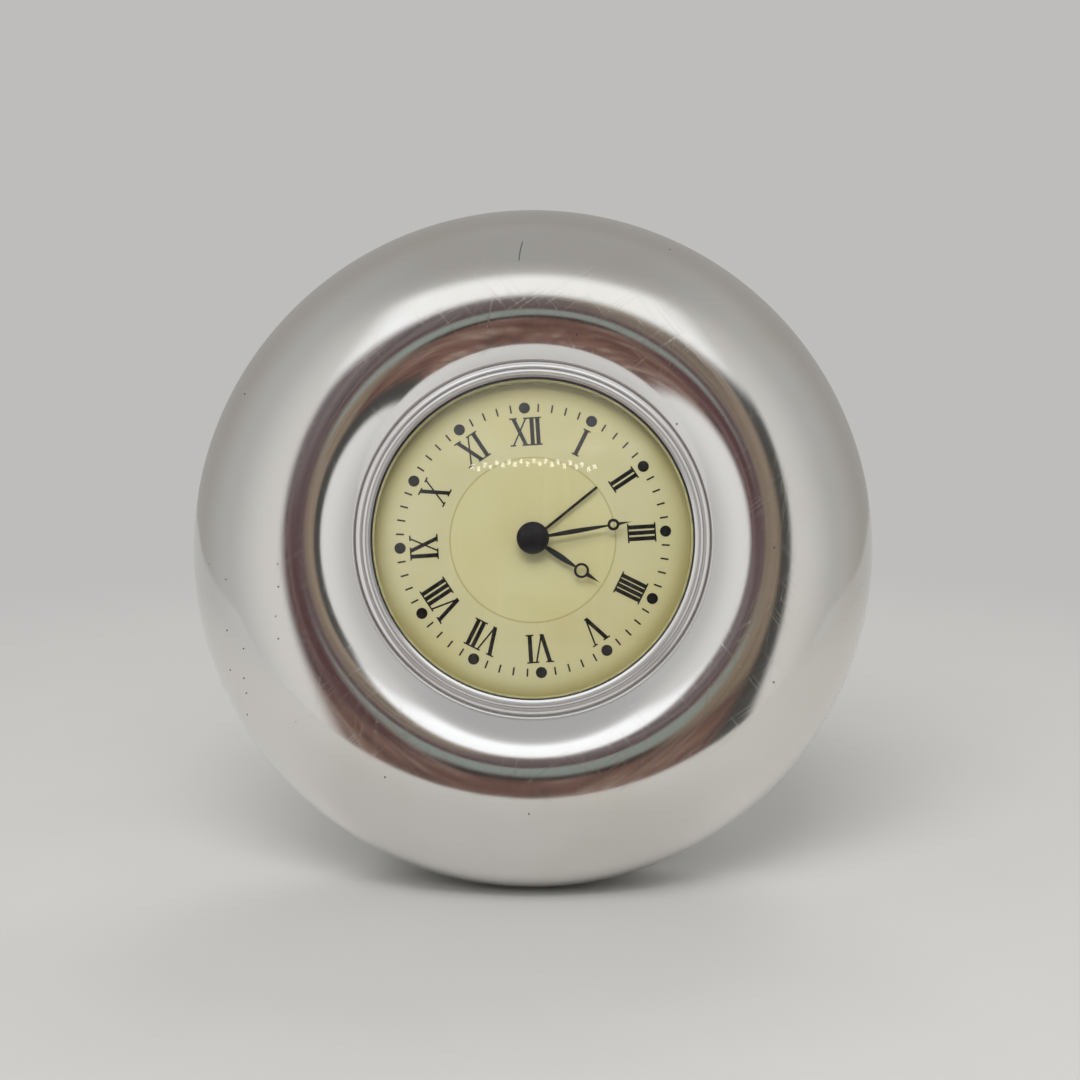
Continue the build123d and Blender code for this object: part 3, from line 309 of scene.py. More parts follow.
# The plating is painted brighter towards the mouth: a painted reflection that lifts the inner slope
painted_reflection_inner = 31.0 * mm
painted_reflection_outer = 39.0 * mm
tarnish_and_painted_reflection = silver.blend(silver.ramp(handling, 0.42, 0.72), paint(231, 229, 226), paint(225, 222, 215))
# Here the tarnish is blended into the painted brighter reflection near the mouth
tarnish_and_painted_reflection = silver.blend(silver.ramp(reach, painted_reflection_outer, painted_reflection_inner), tarnish_and_painted_reflection, paint(248, 247, 246))
silver.set(
    Base_Color=silver.blend(flaws * 0.8, tarnish_and_painted_reflection, paint(62, 52, 45)),
    Metallic=1.0,
    Roughness=0.06 + 0.05 * haze + 0.04 * hairlines + 0.12 * wiped + 0.3 * flaws,
    Coat_Weight=silver.ramp(handling, 0.3, 0.75, 0.45, 0.85),
    Coat_Roughness=0.34,
    Coat_IOR=1.9,
    Normal=silver.bump(hairlines * 0.35 + haze * 0.4 - wiped * 0.35 - flaws, 0.1, 0.06 * mm),
)
shell = turned_piece("shell_plated", shell_section, 256)
fit(shell, silver, "silver_plate", "case", "shell")

# Dial: a thin aluminium disc, lacquered pale yellow-green and aged a little unevenly, with painted shade
# darkening its rim. One fine olive ring is printed inside the numerals. It lies on the movement's front
# plate, under the spacer.
dial_front = 10.8 * mm
dial_thickness = 0.4 * mm
dial_radius = 25.65 * mm
dial_bore = 1.98 * mm
dial_edge = 0.05 * mm
middle_end = 12.6 * mm
chapter_start = 14.2 * mm
shade_start = 20.5 * mm
shade_end = 25.6 * mm
printed_ring_radius = 13.3 * mm
printed_ring_width = 0.2 * mm
dial_section = [
    (dial_bore, dial_front - dial_thickness),
    (dial_radius, dial_front - dial_thickness),
    (dial_radius, dial_front - dial_edge),
    (dial_radius - dial_edge, dial_front),
    (printed_ring_radius, dial_front),
    (dial_bore, dial_front),
]
lacquer = Finish("dial_lacquer")
_, dial_reach = polar_place(lacquer, 1.0)
stains = lacquer.noise(lacquer.place(), 95.0, 4.0)
patches = lacquer.noise(lacquer.place(), 42.0, 2.0)
grain = lacquer.noise(lacquer.place(), 4200.0, 2.0)
middle = lacquer.blend(lacquer.ramp(patches, 0.35, 0.7), paint(186, 181, 136), paint(182, 174, 124))
chapter = lacquer.blend(lacquer.ramp(patches, 0.35, 0.7), paint(183, 178, 138), paint(179, 172, 127))
aged = lacquer.blend(lacquer.ramp(dial_reach, middle_end, chapter_start), middle, chapter)
aged = lacquer.blend(lacquer.ramp(stains, 0.55, 0.8) * 0.35, aged, paint(182, 170, 116))
# Painted shade: the lacquer is darkened to olive towards the rim, where the bezel and spacer shade it
painted_rim_shade = lacquer.ramp(dial_reach, shade_start, shade_end)
rim_with_painted_shade = lacquer.blend(painted_rim_shade * painted_rim_shade, aged, paint(140, 132, 80))
ring_offset = dial_reach - printed_ring_radius
ring_line = lacquer.ramp(ring_offset * ring_offset, printed_ring_width**2 * 0.6, printed_ring_width**2 * 0.1)
lacquer.set(
    Base_Color=lacquer.blend(ring_line * 0.55, rim_with_painted_shade, paint(134, 120, 62)),
    Roughness=0.42 + 0.12 * grain,
    Normal=lacquer.bump(grain, 0.08, 0.02 * mm),
)
dial = turned_piece("dial_disc", dial_section, 160)
fit(dial, lacquer, "printed_dial", "case", "dial")

# Print on the dial: black ink laid on in one pass, a hair thick. Twelve round dots, four ticks between each
# pair, and Roman numerals with heavy stems, thin strokes and flat serifs, their feet towards the centre.
dot_circle = 21.35 * mm
dot_radius = 0.9 * mm
tick_length = 1.3 * mm
tick_width = 0.27 * mm
numeral_foot = 15.22 * mm
numeral_height = 4.58 * mm
stem_width = 0.66 * mm
thin_width = 0.28 * mm
stem_pitch = 0.94 * mm
crowded_pitch = 0.82 * mm
letter_pitch = 0.86 * mm
cross_spread = 2.1 * mm
cross_splay = 0.2 * mm
vee_spread = 2.2 * mm
vee_foot = 1.15 * mm
serif_width = 0.24 * mm
serif_overhang = 0.3 * mm
insert_turn = radians(3.7)
ink_sink = 0.02 * mm
stem_ink = 0.030 * mm
thin_ink = 0.024 * mm
serif_ink = 0.027 * mm
numerals = ("XII", "I", "II", "III", "IIII", "V", "VI", "VII", "VIII", "IX", "X", "XI")


def ink_patch(shape, outline, thickness):
    """One flat patch of ink from an outline on the dial, its foot a little inside the lacquer."""
    lower = [shape.verts.new((x, y, dial_front - ink_sink)) for x, y in outline]
    upper = [shape.verts.new((x, y, dial_front + thickness)) for x, y in outline]
    shape.faces.new(list(reversed(lower)))
    shape.faces.new(upper)
    for i in range(len(outline)):
        j = (i + 1) % len(outline)
        shape.faces.new((lower[i], lower[j], upper[j], upper[i]))


def slanted(foot, head, width):
    """Outline of a stroke from its foot to its head, cut off flat at both ends."""
    half = width / 2
    return [(foot - half, 0), (foot + half, 0), (head + half, numeral_height), (head - half, numeral_height)]


def bar(left, right, level):
    """Outline of a serif between two sides, centred on a level."""
    half = serif_width / 2
    return [(left, level - half), (right, level - half), (right, level + half), (left, level + half)]


def merged(spans):
    """Spans with those that overlap joined into one."""
    joined = []
    for left, right in sorted(spans):
        if joined and left < joined[-1][1]:
            joined[-1][1] = max(joined[-1][1], right)
        else:
            joined.append([left, right])
    return joined


def numeral_strokes(numeral):
    """Outlines and ink thicknesses of one numeral, with its middle at zero."""
    pitch = crowded_pitch if numeral.count("I") > 3 else stem_pitch
    strokes = []
    serifs = {0: [], 1: []}
    cursor = 0.0

    def stroke(foot, head, width, ink, ends):
        strokes.append((slanted(foot, head, width), ink))
        for end in ends:
            middle = (foot, head)[end]
            reach = width / 2 + serif_overhang
            serifs[end].append((middle - reach, middle + reach))

    for letter, following in zip(numeral, numeral[1:] + " "):
        if letter == "I":
            stroke(cursor, cursor, stem_width, stem_ink, (0, 1))
            cursor += pitch if following == "I" else letter_pitch
        elif letter == "X":
            far = cursor + cross_spread
            stroke(far - cross_splay, cursor, stem_width, stem_ink, (0, 1))
            stroke(cursor - cross_splay, far, thin_width, thin_ink, (0, 1))
            cursor = far + letter_pitch
        else:
            far = cursor + vee_spread
            stroke(cursor + vee_foot, cursor, stem_width, stem_ink, (1,))
            stroke(cursor + vee_foot, far, thin_width, thin_ink, (1,))
            cursor = far + letter_pitch
    for end, level in ((0, serif_width / 2), (1, numeral_height - serif_width / 2)):
        strokes += [(bar(left, right, level), serif_ink) for left, right in merged(serifs[end])]
    middle = (cursor - letter_pitch) / 2
    return [([(x - middle, y) for x, y in outline], ink) for outline, ink in strokes]


def on_dial(points, bearing):
    """Points given across and out along a bearing of the dial."""
    c, s = cos(bearing), sin(bearing)
    return [(out * c + across * s, out * s - across * c) for across, out in points]


dot = arc((0, dot_circle), dot_radius, 0, 360, 48)[:-1]
tick_half = tick_width / 2
tick_foot = dot_circle - tick_length / 2
tick_head = dot_circle + tick_length / 2
tick = [(-tick_half, tick_foot), (tick_half, tick_foot), (tick_half, tick_head), (-tick_half, tick_head)]
ink_shape = bmesh.new()
for hour in range(12):
    bearing = pi / 2 - hour * pi / 6 + insert_turn
    ink_patch(ink_shape, on_dial(dot, bearing), stem_ink)
    for minute in range(1, 5):
        ink_patch(ink_shape, on_dial(tick, bearing - minute * pi / 30), thin_ink)
    for outline, thickness in numeral_strokes(numerals[hour]):
        ink_patch(ink_shape, on_dial([(x, numeral_foot + y) for x, y in outline], bearing), thickness)
ink = Finish("dial_ink")
ink_mottle = ink.noise(ink.place(), 1500.0, 3.0)
ink.set(
    Base_Color=ink.blend(ink.ramp(ink_mottle, 0.35, 0.75), paint(17, 17, 16), paint(34, 33, 30)),
    Roughness=0.45 + 0.2 * ink_mottle,
    Specular_IOR_Level=0.1,
    Normal=ink.bump(ink_mottle, 0.15, 0.01 * mm),
)
dial_print = finished_mesh("dial_print", ink_shape, 30)
fit(dial_print, ink, "printed_dial", "case")

# Spacer: a thin ring between the dial and the lens, which it keeps off the hands. It is moulded in plastic
# of the dial's cream colour, with softly broken edges, and the lens presses it down.
spacer_radius = 25.65 * mm
spacer_bore = 25.3 * mm
lens_seat = 13.6 * mm
cream = Finish("spacer_plastic")
cream_mottle = cream.noise(cream.place(), 240.0, 3.0)
cream.set(
    Base_Color=cream.blend(cream_mottle, paint(168, 162, 116), paint(186, 180, 132)),
    Roughness=0.35 + 0.15 * cream_mottle,
    Normal=cream.bump(cream_mottle, 0.1, 0.03 * mm),
)
edge = 0.06 * mm
spacer_section = [
    (spacer_radius - edge, dial_front),
    (spacer_radius, dial_front + edge),
    (spacer_radius, lens_seat - edge),
    (spacer_radius - edge, lens_seat),
    (spacer_bore + edge, lens_seat),
    (spacer_bore, lens_seat - edge),
    (spacer_bore, dial_front + edge),
    (spacer_bore + edge, dial_front),
]
fit(turned_piece("spacer_ring", spacer_section, 160), cream, "spacer_plastic", "case", "dial_spacer")

# Hands: pressed from thin steel with a ridge along the blade and dipped in black enamel, each pushed on its
# own tube or arbor. The hour and minute hands have an open ring near the tip, the alarm hand is a stick.
hand_thickness = 0.25 * mm
hand_edge = 0.1 * mm
hand_bevel = 0.08 * mm
enamel = Finish("black_enamel")
enamel_flow = enamel.noise(enamel.place(), 900.0, 3.0)
enamel.set(
    Base_Color=enamel.blend(enamel_flow, paint(8, 10, 12), paint(18, 20, 23)),
    Roughness=0.24 + 0.14 * enamel_flow,
    Specular_IOR_Level=0.3,
    Normal=enamel.bump(enamel_flow, 0.1, 0.02 * mm),
)


def ridged_strip(shape, stations, place):
    """Strip of a hand through stations of distance and half width, with a ridge along its middle."""
    rows = []
    for reach, half in stations:
        section = ((-half, 0), (half, 0), (half, hand_edge), (0, hand_thickness), (-half, hand_edge))
        rows.append([shape.verts.new(place @ Vector((reach, side, height))) for side, height in section])
    join_rings(shape, rows)
    shape.faces.new(list(reversed(rows[0])))
    shape.faces.new(rows[-1])


def washer(bore, radius):
    """Section of a flat ring as thick as a hand, its front edges broken."""
    bevel = min(hand_bevel, (radius - bore) / 4)
    return [
        (bore, 0),
        (radius, 0),
        (radius, hand_thickness - bevel),
        (radius - bevel, hand_thickness),
        (bore + bevel, hand_thickness),
        (bore, hand_thickness - bevel),
    ]


def hand_place(rear, clock_hours):
    """Place of a hand on the dial, pointing at an hour."""
    bearing = pi / 2 - clock_hours * pi / 6 + insert_turn
    return Matrix.Translation((0, 0, rear)) @ Matrix.Rotation(bearing, 4, "Z")


def ringed_hand(name, body, node, place, hub, neck, bulge, ring, tip):
    """Hand with a leaf-shaped blade, an open ring and a needle tip. Its widths are half widths."""
    shape = bmesh.new()
    ring_distance, ring_radius, eye_radius = ring
    tip_distance, tip_width = tip
    spin(shape, washer(*hub), 64, place)
    spin(shape, washer(eye_radius, ring_radius), 64, place @ Matrix.Translation((ring_distance, 0, 0)))
    blade_start = (hub[0] + hub[1]) / 2
    blade_length = ring_distance - ring_radius + hand_edge - blade_start
    shares = [i / 24 for i in range(25)]
    blade = [(blade_start + blade_length * u, neck + bulge * sin(pi * u)) for u in shares]
    ridged_strip(shape, blade, place)
    tip_foot = ring_distance + ring_radius - hand_edge
    tip_length = tip_distance - tip_foot
    needle = [(tip_foot + tip_length * u, tip_width * (1.03 - u) ** 1.15) for u in shares[::2]]
    ridged_strip(shape, needle, place)
    fit(finished_mesh(name, shape, 25), enamel, "black_enamel", body, node)


minutes_past = 14
ringed_hand(
    "hour_hand_leaf",
    "hour",
    "hour_hand",
    place=hand_place(12.45 * mm, 4 + minutes_past / 60),
    hub=(1.26 * mm, 2.1 * mm),
    neck=0.17 * mm,
    bulge=0.32 * mm,
    ring=(9.3 * mm, 1.22 * mm, 0.82 * mm),
    tip=(12.9 * mm, 0.36 * mm),
)
ringed_hand(
    "minute_hand_leaf",
    "minute",
    "minute_hand",
    place=hand_place(13.15 * mm, minutes_past / 5),
    hub=(0.8 * mm, 1.8 * mm),
    neck=0.14 * mm,
    bulge=0.25 * mm,
    ring=(13.05 * mm, 0.95 * mm, 0.5 * mm),
    tip=(16.1 * mm, 0.26 * mm),
)
alarm_half = 0.22 * mm
alarm_reach = 13.3 * mm
alarm_bore = 1.66 * mm
alarm_hub_radius = 2.3 * mm
alarm_root = 0.3 * mm
alarm_tip = 0.06 * mm
alarm_place = hand_place(11.75 * mm, 1 + 49 / 60)
alarm_shape = bmesh.new()
spin(alarm_shape, washer(alarm_bore, alarm_hub_radius), 64, alarm_place)
alarm_stations = [
    (alarm_hub_radius - alarm_root, alarm_half),
    (alarm_reach - alarm_half, alarm_half),
    (alarm_reach - alarm_tip, 0.8 * alarm_half),
    (alarm_reach, 0.4 * alarm_half),
]
ridged_strip(alarm_shape, alarm_stations, alarm_place)
fit(finished_mesh("alarm_hand_stick", alarm_shape, 25), enamel, "black_enamel", "alarm", "alarm_hand")

# Hub cap: a button turned from brass with a low dome and a rounded edge, in the same black enamel as the
# hands. It is pressed on the end of the minute arbor and turns with it.
cap_rear = 13.45 * mm
cap_top = 14.55 * mm
cap_radius = 2.6 * mm
cap_bore = 0.8 * mm
cap_seat = 14.0 * mm
cap_dome_radius = 14.0 * mm
cap_round = 0.35 * mm
cap_edge = 0.1 * mm
dome_edge = cap_radius - cap_round
dome_turn = degrees(asin(dome_edge / cap_dome_radius))
dome_drop = cap_dome_radius - sqrt(cap_dome_radius**2 - dome_edge**2)
cap_section = [
    (cap_bore, cap_seat),
    (cap_bore, cap_rear),
    (cap_radius - cap_edge, cap_rear),
    (cap_radius, cap_rear + cap_edge),
    *arc((dome_edge, cap_top - dome_drop - cap_round), cap_round, 0, 90 - dome_turn, 8),
    *arc((0, cap_top - cap_dome_radius), cap_dome_radius, 90 - dome_turn, 90, 10)[1:],
    (0, cap_seat),
]
fit(turned_piece("hub_button", cap_section, 96), enamel, "black_enamel", "minute", "hub_cap")

# Bezel: a turned brass ring with two broad beads, a fine groove between them, a steep inner slope and a
# narrow lip. Its bright chrome has hazed with age. It snaps over the insert's case and holds the lens down.
bezel_radius = 28.3 * mm
outer_bead = (27.4 * mm, 14.53 * mm)
outer_bead_radius = 1.37 * mm
inner_bead = (26.65 * mm, 14.84 * mm)
inner_bead_radius = 0.96 * mm
groove_bottom = (27.24 * mm, 15.5 * mm)
lip_top = (26.3 * mm, 14.98 * mm)
window_radius = 25.95 * mm
lip_fall = 0.09 * mm
lens_top = 14.8 * mm
lens_room = 0.05 * mm
skirt_radius = 27.1 * mm
skirt_bore = 26.45 * mm
skirt_foot = 12.4 * mm
bezel_section = [
    (skirt_radius, skirt_foot + edge),
    (skirt_radius, lip_height),
    (bezel_radius - edge, lip_height),
    (bezel_radius, lip_height + edge),
    *arc(outer_bead, outer_bead_radius, 50, 95, 18),
    groove_bottom,
    *arc(inner_bead, inner_bead_radius, 55, 100, 14),
    lip_top,
    (window_radius, lip_top[1] - lip_fall),
    (window_radius, lens_top + lens_room),
    (skirt_bore, lens_top + lens_room),
    (skirt_bore, skirt_foot + edge),
    (skirt_bore + edge, skirt_foot),
    (skirt_radius - edge, skirt_foot),
]
chrome = Finish("chrome_trim")
turning, _ = polar_place(chrome, 0.001)
lathe_lines = chrome.noise(turning, 9000.0, 2.0)
smudge = chrome.noise(chrome.place(), 160.0, 3.0)
chrome.set(
    Base_Color=chrome.blend(smudge, paint(220, 220, 220), paint(230, 229, 227)),
    Metallic=0.72,
    Roughness=0.07 + 0.06 * smudge + 0.03 * lathe_lines,
    Normal=chrome.bump(lathe_lines, 0.05, 0.02 * mm),
)
fit(turned_piece("bezel_ring", bezel_section, 256), chrome, "chrome_trim", "case", "bezel")

# Lens: a clear acrylic dome with a flat flange, moulded in one and held under the bezel. Light passes it on
# its way to the dial, so it casts no shadow.
lens_radius = 26.4 * mm
lens_dome_edge = 25.75 * mm
lens_apex = 18.0 * mm
lens_inner_edge = 25.0 * mm
lens_inner_apex = 16.6 * mm


def dome(edge_radius, edge_height, apex, steps):
    """Points of a shallow dome's section from its edge to its apex."""
    rise = apex - edge_height
    radius = (edge_radius**2 + rise**2) / (2 * rise)
    turn = degrees(asin(edge_radius / radius))
    return arc((0, apex - radius), radius, 90 - turn, 90, steps)


lens_section = [
    (lens_radius, lens_seat),
    (lens_radius, lens_top),
    *dome(lens_dome_edge, lens_top, lens_apex, 40),
    *reversed(dome(lens_inner_edge, lens_seat, lens_inner_apex, 40)),
]
clear = Finish("clear_lens")
rub = clear.noise(clear.place(), 260.0, 4.0)
clear.set(
    Base_Color=(0.985, 0.99, 0.985, 1.0),
    Roughness=clear.ramp(rub, 0.3, 0.8, 0.0, 0.035),
    IOR=1.4,
    Transmission_Weight=1.0,
)
shadow_ray = clear.node("ShaderNodeLightPath", output="Is Shadow Ray")
lighting_ray = shadow_ray + Tone(clear, shadow_ray.socket.node.outputs["Is Diffuse Ray"])
unseen = clear.node("ShaderNodeBsdfTransparent")
shown = Tone(clear, clear.shader.outputs[0])
passing = clear.node("ShaderNodeMixShader", {}, {0: lighting_ray, 1: shown, 2: unseen})
clear.join(clear.tree.nodes["Material Output"], {"Surface": passing})
fit(turned_piece("lens_dome", lens_section, 160), clear, "clear_lens", "case", "lens")

# Back plate: pressed from steel sheet with a stiffening channel and two ears for the foot's pin, then
# brushed up and down and nickel plated. It closes the shell's back and has a round opening for the insert.
plate_front = -12.996 * mm
plate_thickness = 1.0 * mm
plate_rear = plate_front - plate_thickness
plate_radius = 50.01 * mm
plate_round = 0.3 * mm
access_radius = 27.0 * mm
channel_inner = 39.0 * mm
channel_outer = 42.8 * mm
channel_depth = 0.45 * mm
channel_side = 0.8 * mm
ear_inner = 18.4 * mm
ear_outer = 19.6 * mm
ear_radius = 2.4 * mm
ear_round = 0.2 * mm
pin_radius = 1.0 * mm
hinge_drop = 30.0 * mm


def brushed(name, dark, light, roughness, stretch, edge_radius):
    """Metal with fine scratches drawn out up the clock's height and softly broken edges."""
    metal = Finish(name)
    x, y, z = metal.axes(metal.place())
    drawn = metal.node("ShaderNodeCombineXYZ", {}, {0: x, 1: y * stretch, 2: z * stretch})
    lines = metal.noise(drawn, 2600.0, 3.0, 0.65)
    cloud = metal.noise(metal.place(), 70.0, 3.0)
    rounded = metal.node("ShaderNodeBevel", {"samples": 4}, {"Radius": edge_radius})
    metal.set(
        Base_Color=metal.blend(metal.ramp(0.6 * lines + 0.4 * cloud, 0.3, 0.7), dark, light),
        Metallic=1.0,
        Roughness=roughness + 0.12 * lines + 0.06 * cloud,
        Normal=metal.bump(lines, 0.12, 0.03 * mm, rounded),
    )
    return metal


def add_ear(shape, near_side, far_side, steps=48):
    """Hinge ear between two sides: square towards the plate, round behind, bored for the pin."""
    pin_up, pin_ahead = -hinge_drop, plate_rear - ear_radius
    rings = []
    for i in range(steps):
        c, s = cos(2 * pi * i / steps), sin(2 * pi * i / steps)
        reach = ear_radius / max(abs(c), abs(s)) if s > 0 else ear_radius
        outline = [
            (pin_radius, near_side),
            (reach - ear_round, near_side),
            (reach, near_side + ear_round),
            (reach, far_side - ear_round),
            (reach - ear_round, far_side),
            (pin_radius, far_side),
        ]
        rings.append([shape.verts.new((x, pin_up + r * c, pin_ahead + r * s)) for r, x in outline])
    join_rings(shape, rings + rings[:1])


press = [(channel_side * u, channel_depth * (1 - cos(pi * u)) / 2) for u in (i / 6 for i in range(7))]
plate_section = [
    (access_radius, plate_front),
    (plate_radius, plate_front),
    *arc((plate_radius - plate_round, plate_rear + plate_round), plate_round, 0, -90, 6),
    *((channel_outer - across, plate_rear + rise) for across, rise in press),
    *((channel_inner + across, plate_rear + rise) for across, rise in reversed(press)),
    *arc((access_radius + plate_round, plate_rear + plate_round), plate_round, -90, -180, 6),
]
plate_shape = bmesh.new()
spin(plate_shape, plate_section, 192)
add_ear(plate_shape, ear_inner, ear_outer)
add_ear(plate_shape, -ear_outer, -ear_inner)
satin = brushed("satin_steel", paint(196, 195, 193), paint(216, 214, 210), 0.24, 0.03, 0.1 * mm)
fit(finished_mesh("plate_pressed", plate_shape, 30), satin, "satin_steel", "case", "back_plate")

# Back plate screws: three turned steel screws with domed, slotted heads, bright plated. They pass the plate
# and the shell's flange into clinch nuts. Each was left with its slot at its own angle.
screw_circle = 46.46 * mm
screw_head_radius = 2.3 * mm
screw_crown = 1.1 * mm
screw_rim = 0.75 * mm
slot_floor = 0.5 * mm
slot_half = 0.3 * mm
slot_turns = (18, 75, 132)
crown_reach = 0.985 * screw_head_radius
crown_sink = 0.05 * mm


def crown_height(x, y):
    """Height of a screw's domed head over a point of it."""
    return screw_rim + (screw_crown - screw_rim) * (1 - (x * x + y * y) / screw_head_radius**2)


def half_crown(shape, place, columns=12, rows=8):
    """One side of a screw's crown beside its slot, its foot a little inside the head's disc."""
    spots = []
    for row in range(rows + 1):
        y = slot_half + (crown_reach - slot_half) * sin(pi / 2 * row / rows)
        reach = sqrt(screw_head_radius**2 - y * y)
        spots.append([(reach * (2 * i / columns - 1), y) for i in range(columns + 1)])
    crown = [[shape.verts.new(place @ Vector((x, y, crown_height(x, y)))) for x, y in row] for row in spots]
    for near, far in zip(crown, crown[1:]):
        for i in range(columns):
            shape.faces.new((near[i], near[i + 1], far[i + 1], far[i]))
    right = [row[-1] for row in crown[1:-1]]
    left = [row[0] for row in crown[-2:0:-1]]
    upper = [*crown[0], *right, *reversed(crown[-1]), *left]
    foot_drop = place.to_3x3() @ Vector((0, 0, 1))
    foot_level = slot_floor - crown_sink
    back = place.inverted()
    lower = [shape.verts.new(v.co + foot_drop * (foot_level - (back @ v.co).z)) for v in upper]
    for i in range(len(upper)):
        j = (i + 1) % len(upper)
        shape.faces.new((lower[i], lower[j], upper[j], upper[i]))
    shape.faces.new(list(reversed(lower)))


screw_shape = bmesh.new()
for i, slot_turn in enumerate(slot_turns):
    bearing = pi / 2 + 2 * pi * i / 3
    spot = Matrix.Translation((screw_circle * cos(bearing), screw_circle * sin(bearing), plate_rear))
    facing_back = spot @ Matrix.Rotation(pi, 4, "X") @ Matrix.Rotation(radians(slot_turn), 4, "Z")
    disc = [(0, 0), (screw_head_radius, 0), (screw_head_radius, slot_floor), (0, slot_floor)]
    spin(screw_shape, disc, 48, facing_back)
    half_crown(screw_shape, facing_back)
    half_crown(screw_shape, facing_back @ Matrix.Rotation(pi, 4, "Z"))
bright = brushed("bright_steel", paint(200, 200, 200), paint(222, 221, 218), 0.15, 0.5, 0.05 * mm)
fit(finished_mesh("screw_heads", screw_shape, 35), bright, "bright_steel", "case", "back_plate_screws")


# Foot and small metal parts: the foot is bent from the plate's sheet and swings on a steel pin. Springs,
# contacts, the motor's stack and the cell are bright steel, and the arbor and the sounder's disc are brass.
def dress(finish, *nodes):
    """Give solids that stay as they are their finish."""
    for name in nodes:
        solid = frame["nodes"][name]
        solid.data.materials.clear()
        solid.data.materials.append(finish.material)


dress(satin, "stand_leg")
dress(bright, "clinch_nuts", "hinge_pin", "clutch_spring", "plate_screws", "alarm_contact")
dress(bright, "stator", "coil_core", "crystal", "cell_contact_front", "cell_contact_side", "button_cell")
brass = brushed("brass_work", paint(198, 158, 84), paint(222, 186, 112), 0.2, 0.5, 0.1 * mm)
dress(brass, "minute_arbor", "sounder")


# Insert: a moulded black case with a sparked, slightly uneven skin, held in the shell's collar by a rubber
# ring. Knobs, slide and cell cover are of the same plastic, and white wheels run in it between grey plates.
def moulded(name, dark, light, roughness, grain_size, edge_radius):
    """Moulded plastic: a fine spark-eroded grain, a little shade from handling and softened edges."""
    plastic = Finish(name)
    grain = plastic.noise(plastic.place(), 1 / grain_size, 2.0)
    shade = plastic.noise(plastic.place(), 120.0, 3.0)
    rounded = plastic.node("ShaderNodeBevel", {"samples": 4}, {"Radius": edge_radius})
    plastic.set(
        Base_Color=plastic.blend(plastic.ramp(0.5 * grain + 0.5 * shade, 0.3, 0.7), dark, light),
        Roughness=roughness + 0.15 * grain + 0.08 * shade,
        Normal=plastic.bump(grain, 0.25, 0.04 * mm, rounded),
    )
    return plastic


case_black = moulded("black_case_plastic", paint(36, 36, 38), paint(50, 50, 51), 0.36, 0.35 * mm, 0.2 * mm)
dress(case_black, "insert_case", "cell_cap")
knob_black = moulded("knob_plastic", paint(44, 44, 46), paint(60, 60, 61), 0.3, 0.3 * mm, 0.15 * mm)
dress(knob_black, "time_set_knob", "alarm_set_knob", "alarm_switch")
rubber = moulded("black_rubber", paint(20, 20, 20), paint(31, 30, 30), 0.62, 0.2 * mm, 0.2 * mm)
dress(rubber, "grip_ring")
white = moulded("white_gear_plastic", paint(222, 221, 214), paint(238, 237, 231), 0.38, 0.2 * mm, 0.05 * mm)
dress(white, "centre_wheel", "third_wheel", "seconds_wheel", "intermediate_wheel", "rotor_pinion")
dress(white, "minute_wheel", "hour_wheel", "alarm_wheel")
dress(white, "time_set_shaft", "alarm_set_shaft", "coil_bobbin")
grey = moulded("grey_plate_plastic", paint(120, 122, 124), paint(146, 147, 148), 0.45, 0.3 * mm, 0.1 * mm)
dress(grey, "front_plate", "rear_plate")
resin = moulded("black_resin", paint(14, 14, 15), paint(27, 27, 28), 0.24, 0.5 * mm, 0.2 * mm)
dress(resin, "chip")
magnet = moulded("dark_magnet", paint(52, 50, 50), paint(70, 68, 66), 0.4, 0.15 * mm, 0.1 * mm)
dress(magnet, "rotor_magnet")
board = moulded("green_board", paint(18, 70, 42), paint(30, 92, 58), 0.3, 0.6 * mm, 0.05 * mm)
dress(board, "circuit_board")
copper = moulded("copper_wire", paint(150, 78, 40), paint(196, 112, 62), 0.3, 0.12 * mm, 0.05 * mm)
copper.set(Metallic=1.0)
dress(copper, "coil_winding")

# Floor: a plain pale table top. Its part beside and behind the clock shows in the metal, and its front edge
# is where the tent opens. Away from the clock it runs into the plain background, which painted light makes a
# little paler in front.
front_edge = -0.115
side_edge = 0.5
rear_edge = 0.5
far_edge = 6.0
lit_radius = 0.1
plain_radius = 0.3
pale_radius = 0.8
pale_front = -0.14
pale_rear = 0.12
background = paint(190, 189, 187)
table = Finish("pale_table")
table_spot = table.node("ShaderNodeTexCoord", output="Object")
table_grain = table.noise(table_spot, 30.0, 4.0)
table_x, table_y, _ = table.axes(table_spot)
table.set(
    Base_Color=table.blend(table_grain, paint(201, 200, 198), paint(206, 205, 203)),
    Roughness=0.7,
    Specular_IOR_Level=0.2,
)
table_span = table_x * table_x + table_y * table_y
away = table.ramp(table_span, lit_radius**2, plain_radius**2)
# Painted light: the plain background is paler towards the front
painted_light_ahead = table.ramp(table_y, pale_rear, pale_front) * table.ramp(table_span, pale_radius**2, plain_radius**2)
plain_tone = table.blend(painted_light_ahead, background, paint(202, 202, 201))
plain = table.node("ShaderNodeEmission", {}, {"Color": plain_tone, "Strength": 1.0})
lit = Tone(table, table.shader.outputs[0])
faded = table.node("ShaderNodeMixShader", {}, {0: away, 1: lit, 2: plain})
table.join(table.tree.nodes["Material Output"], {"Surface": faded})


def floor_part(name, *tiles):
    """Flat floor from tiles between two corners each."""
    shape = bmesh.new()
    for left, front, right, rear in tiles:
        corners = ((left, front), (right, front), (right, rear), (left, rear))
        shape.faces.new([shape.verts.new((x, y, 0)) for x, y in corners])
    part = finished_mesh(name, shape, 40, Matrix())
    part.data.materials.append(table.material)
    return part


floor_part("floor_near", (-side_edge, front_edge, side_edge, rear_edge))
far_floor = floor_part(
    "floor_far",
    (-far_edge, -far_edge, far_edge, front_edge),
    (-far_edge, front_edge, -side_edge, rear_edge),
    (side_edge, front_edge, far_edge, rear_edge),
    (-far_edge, rear_edge, far_edge, far_edge),
)
far_floor.visible_glossy = False

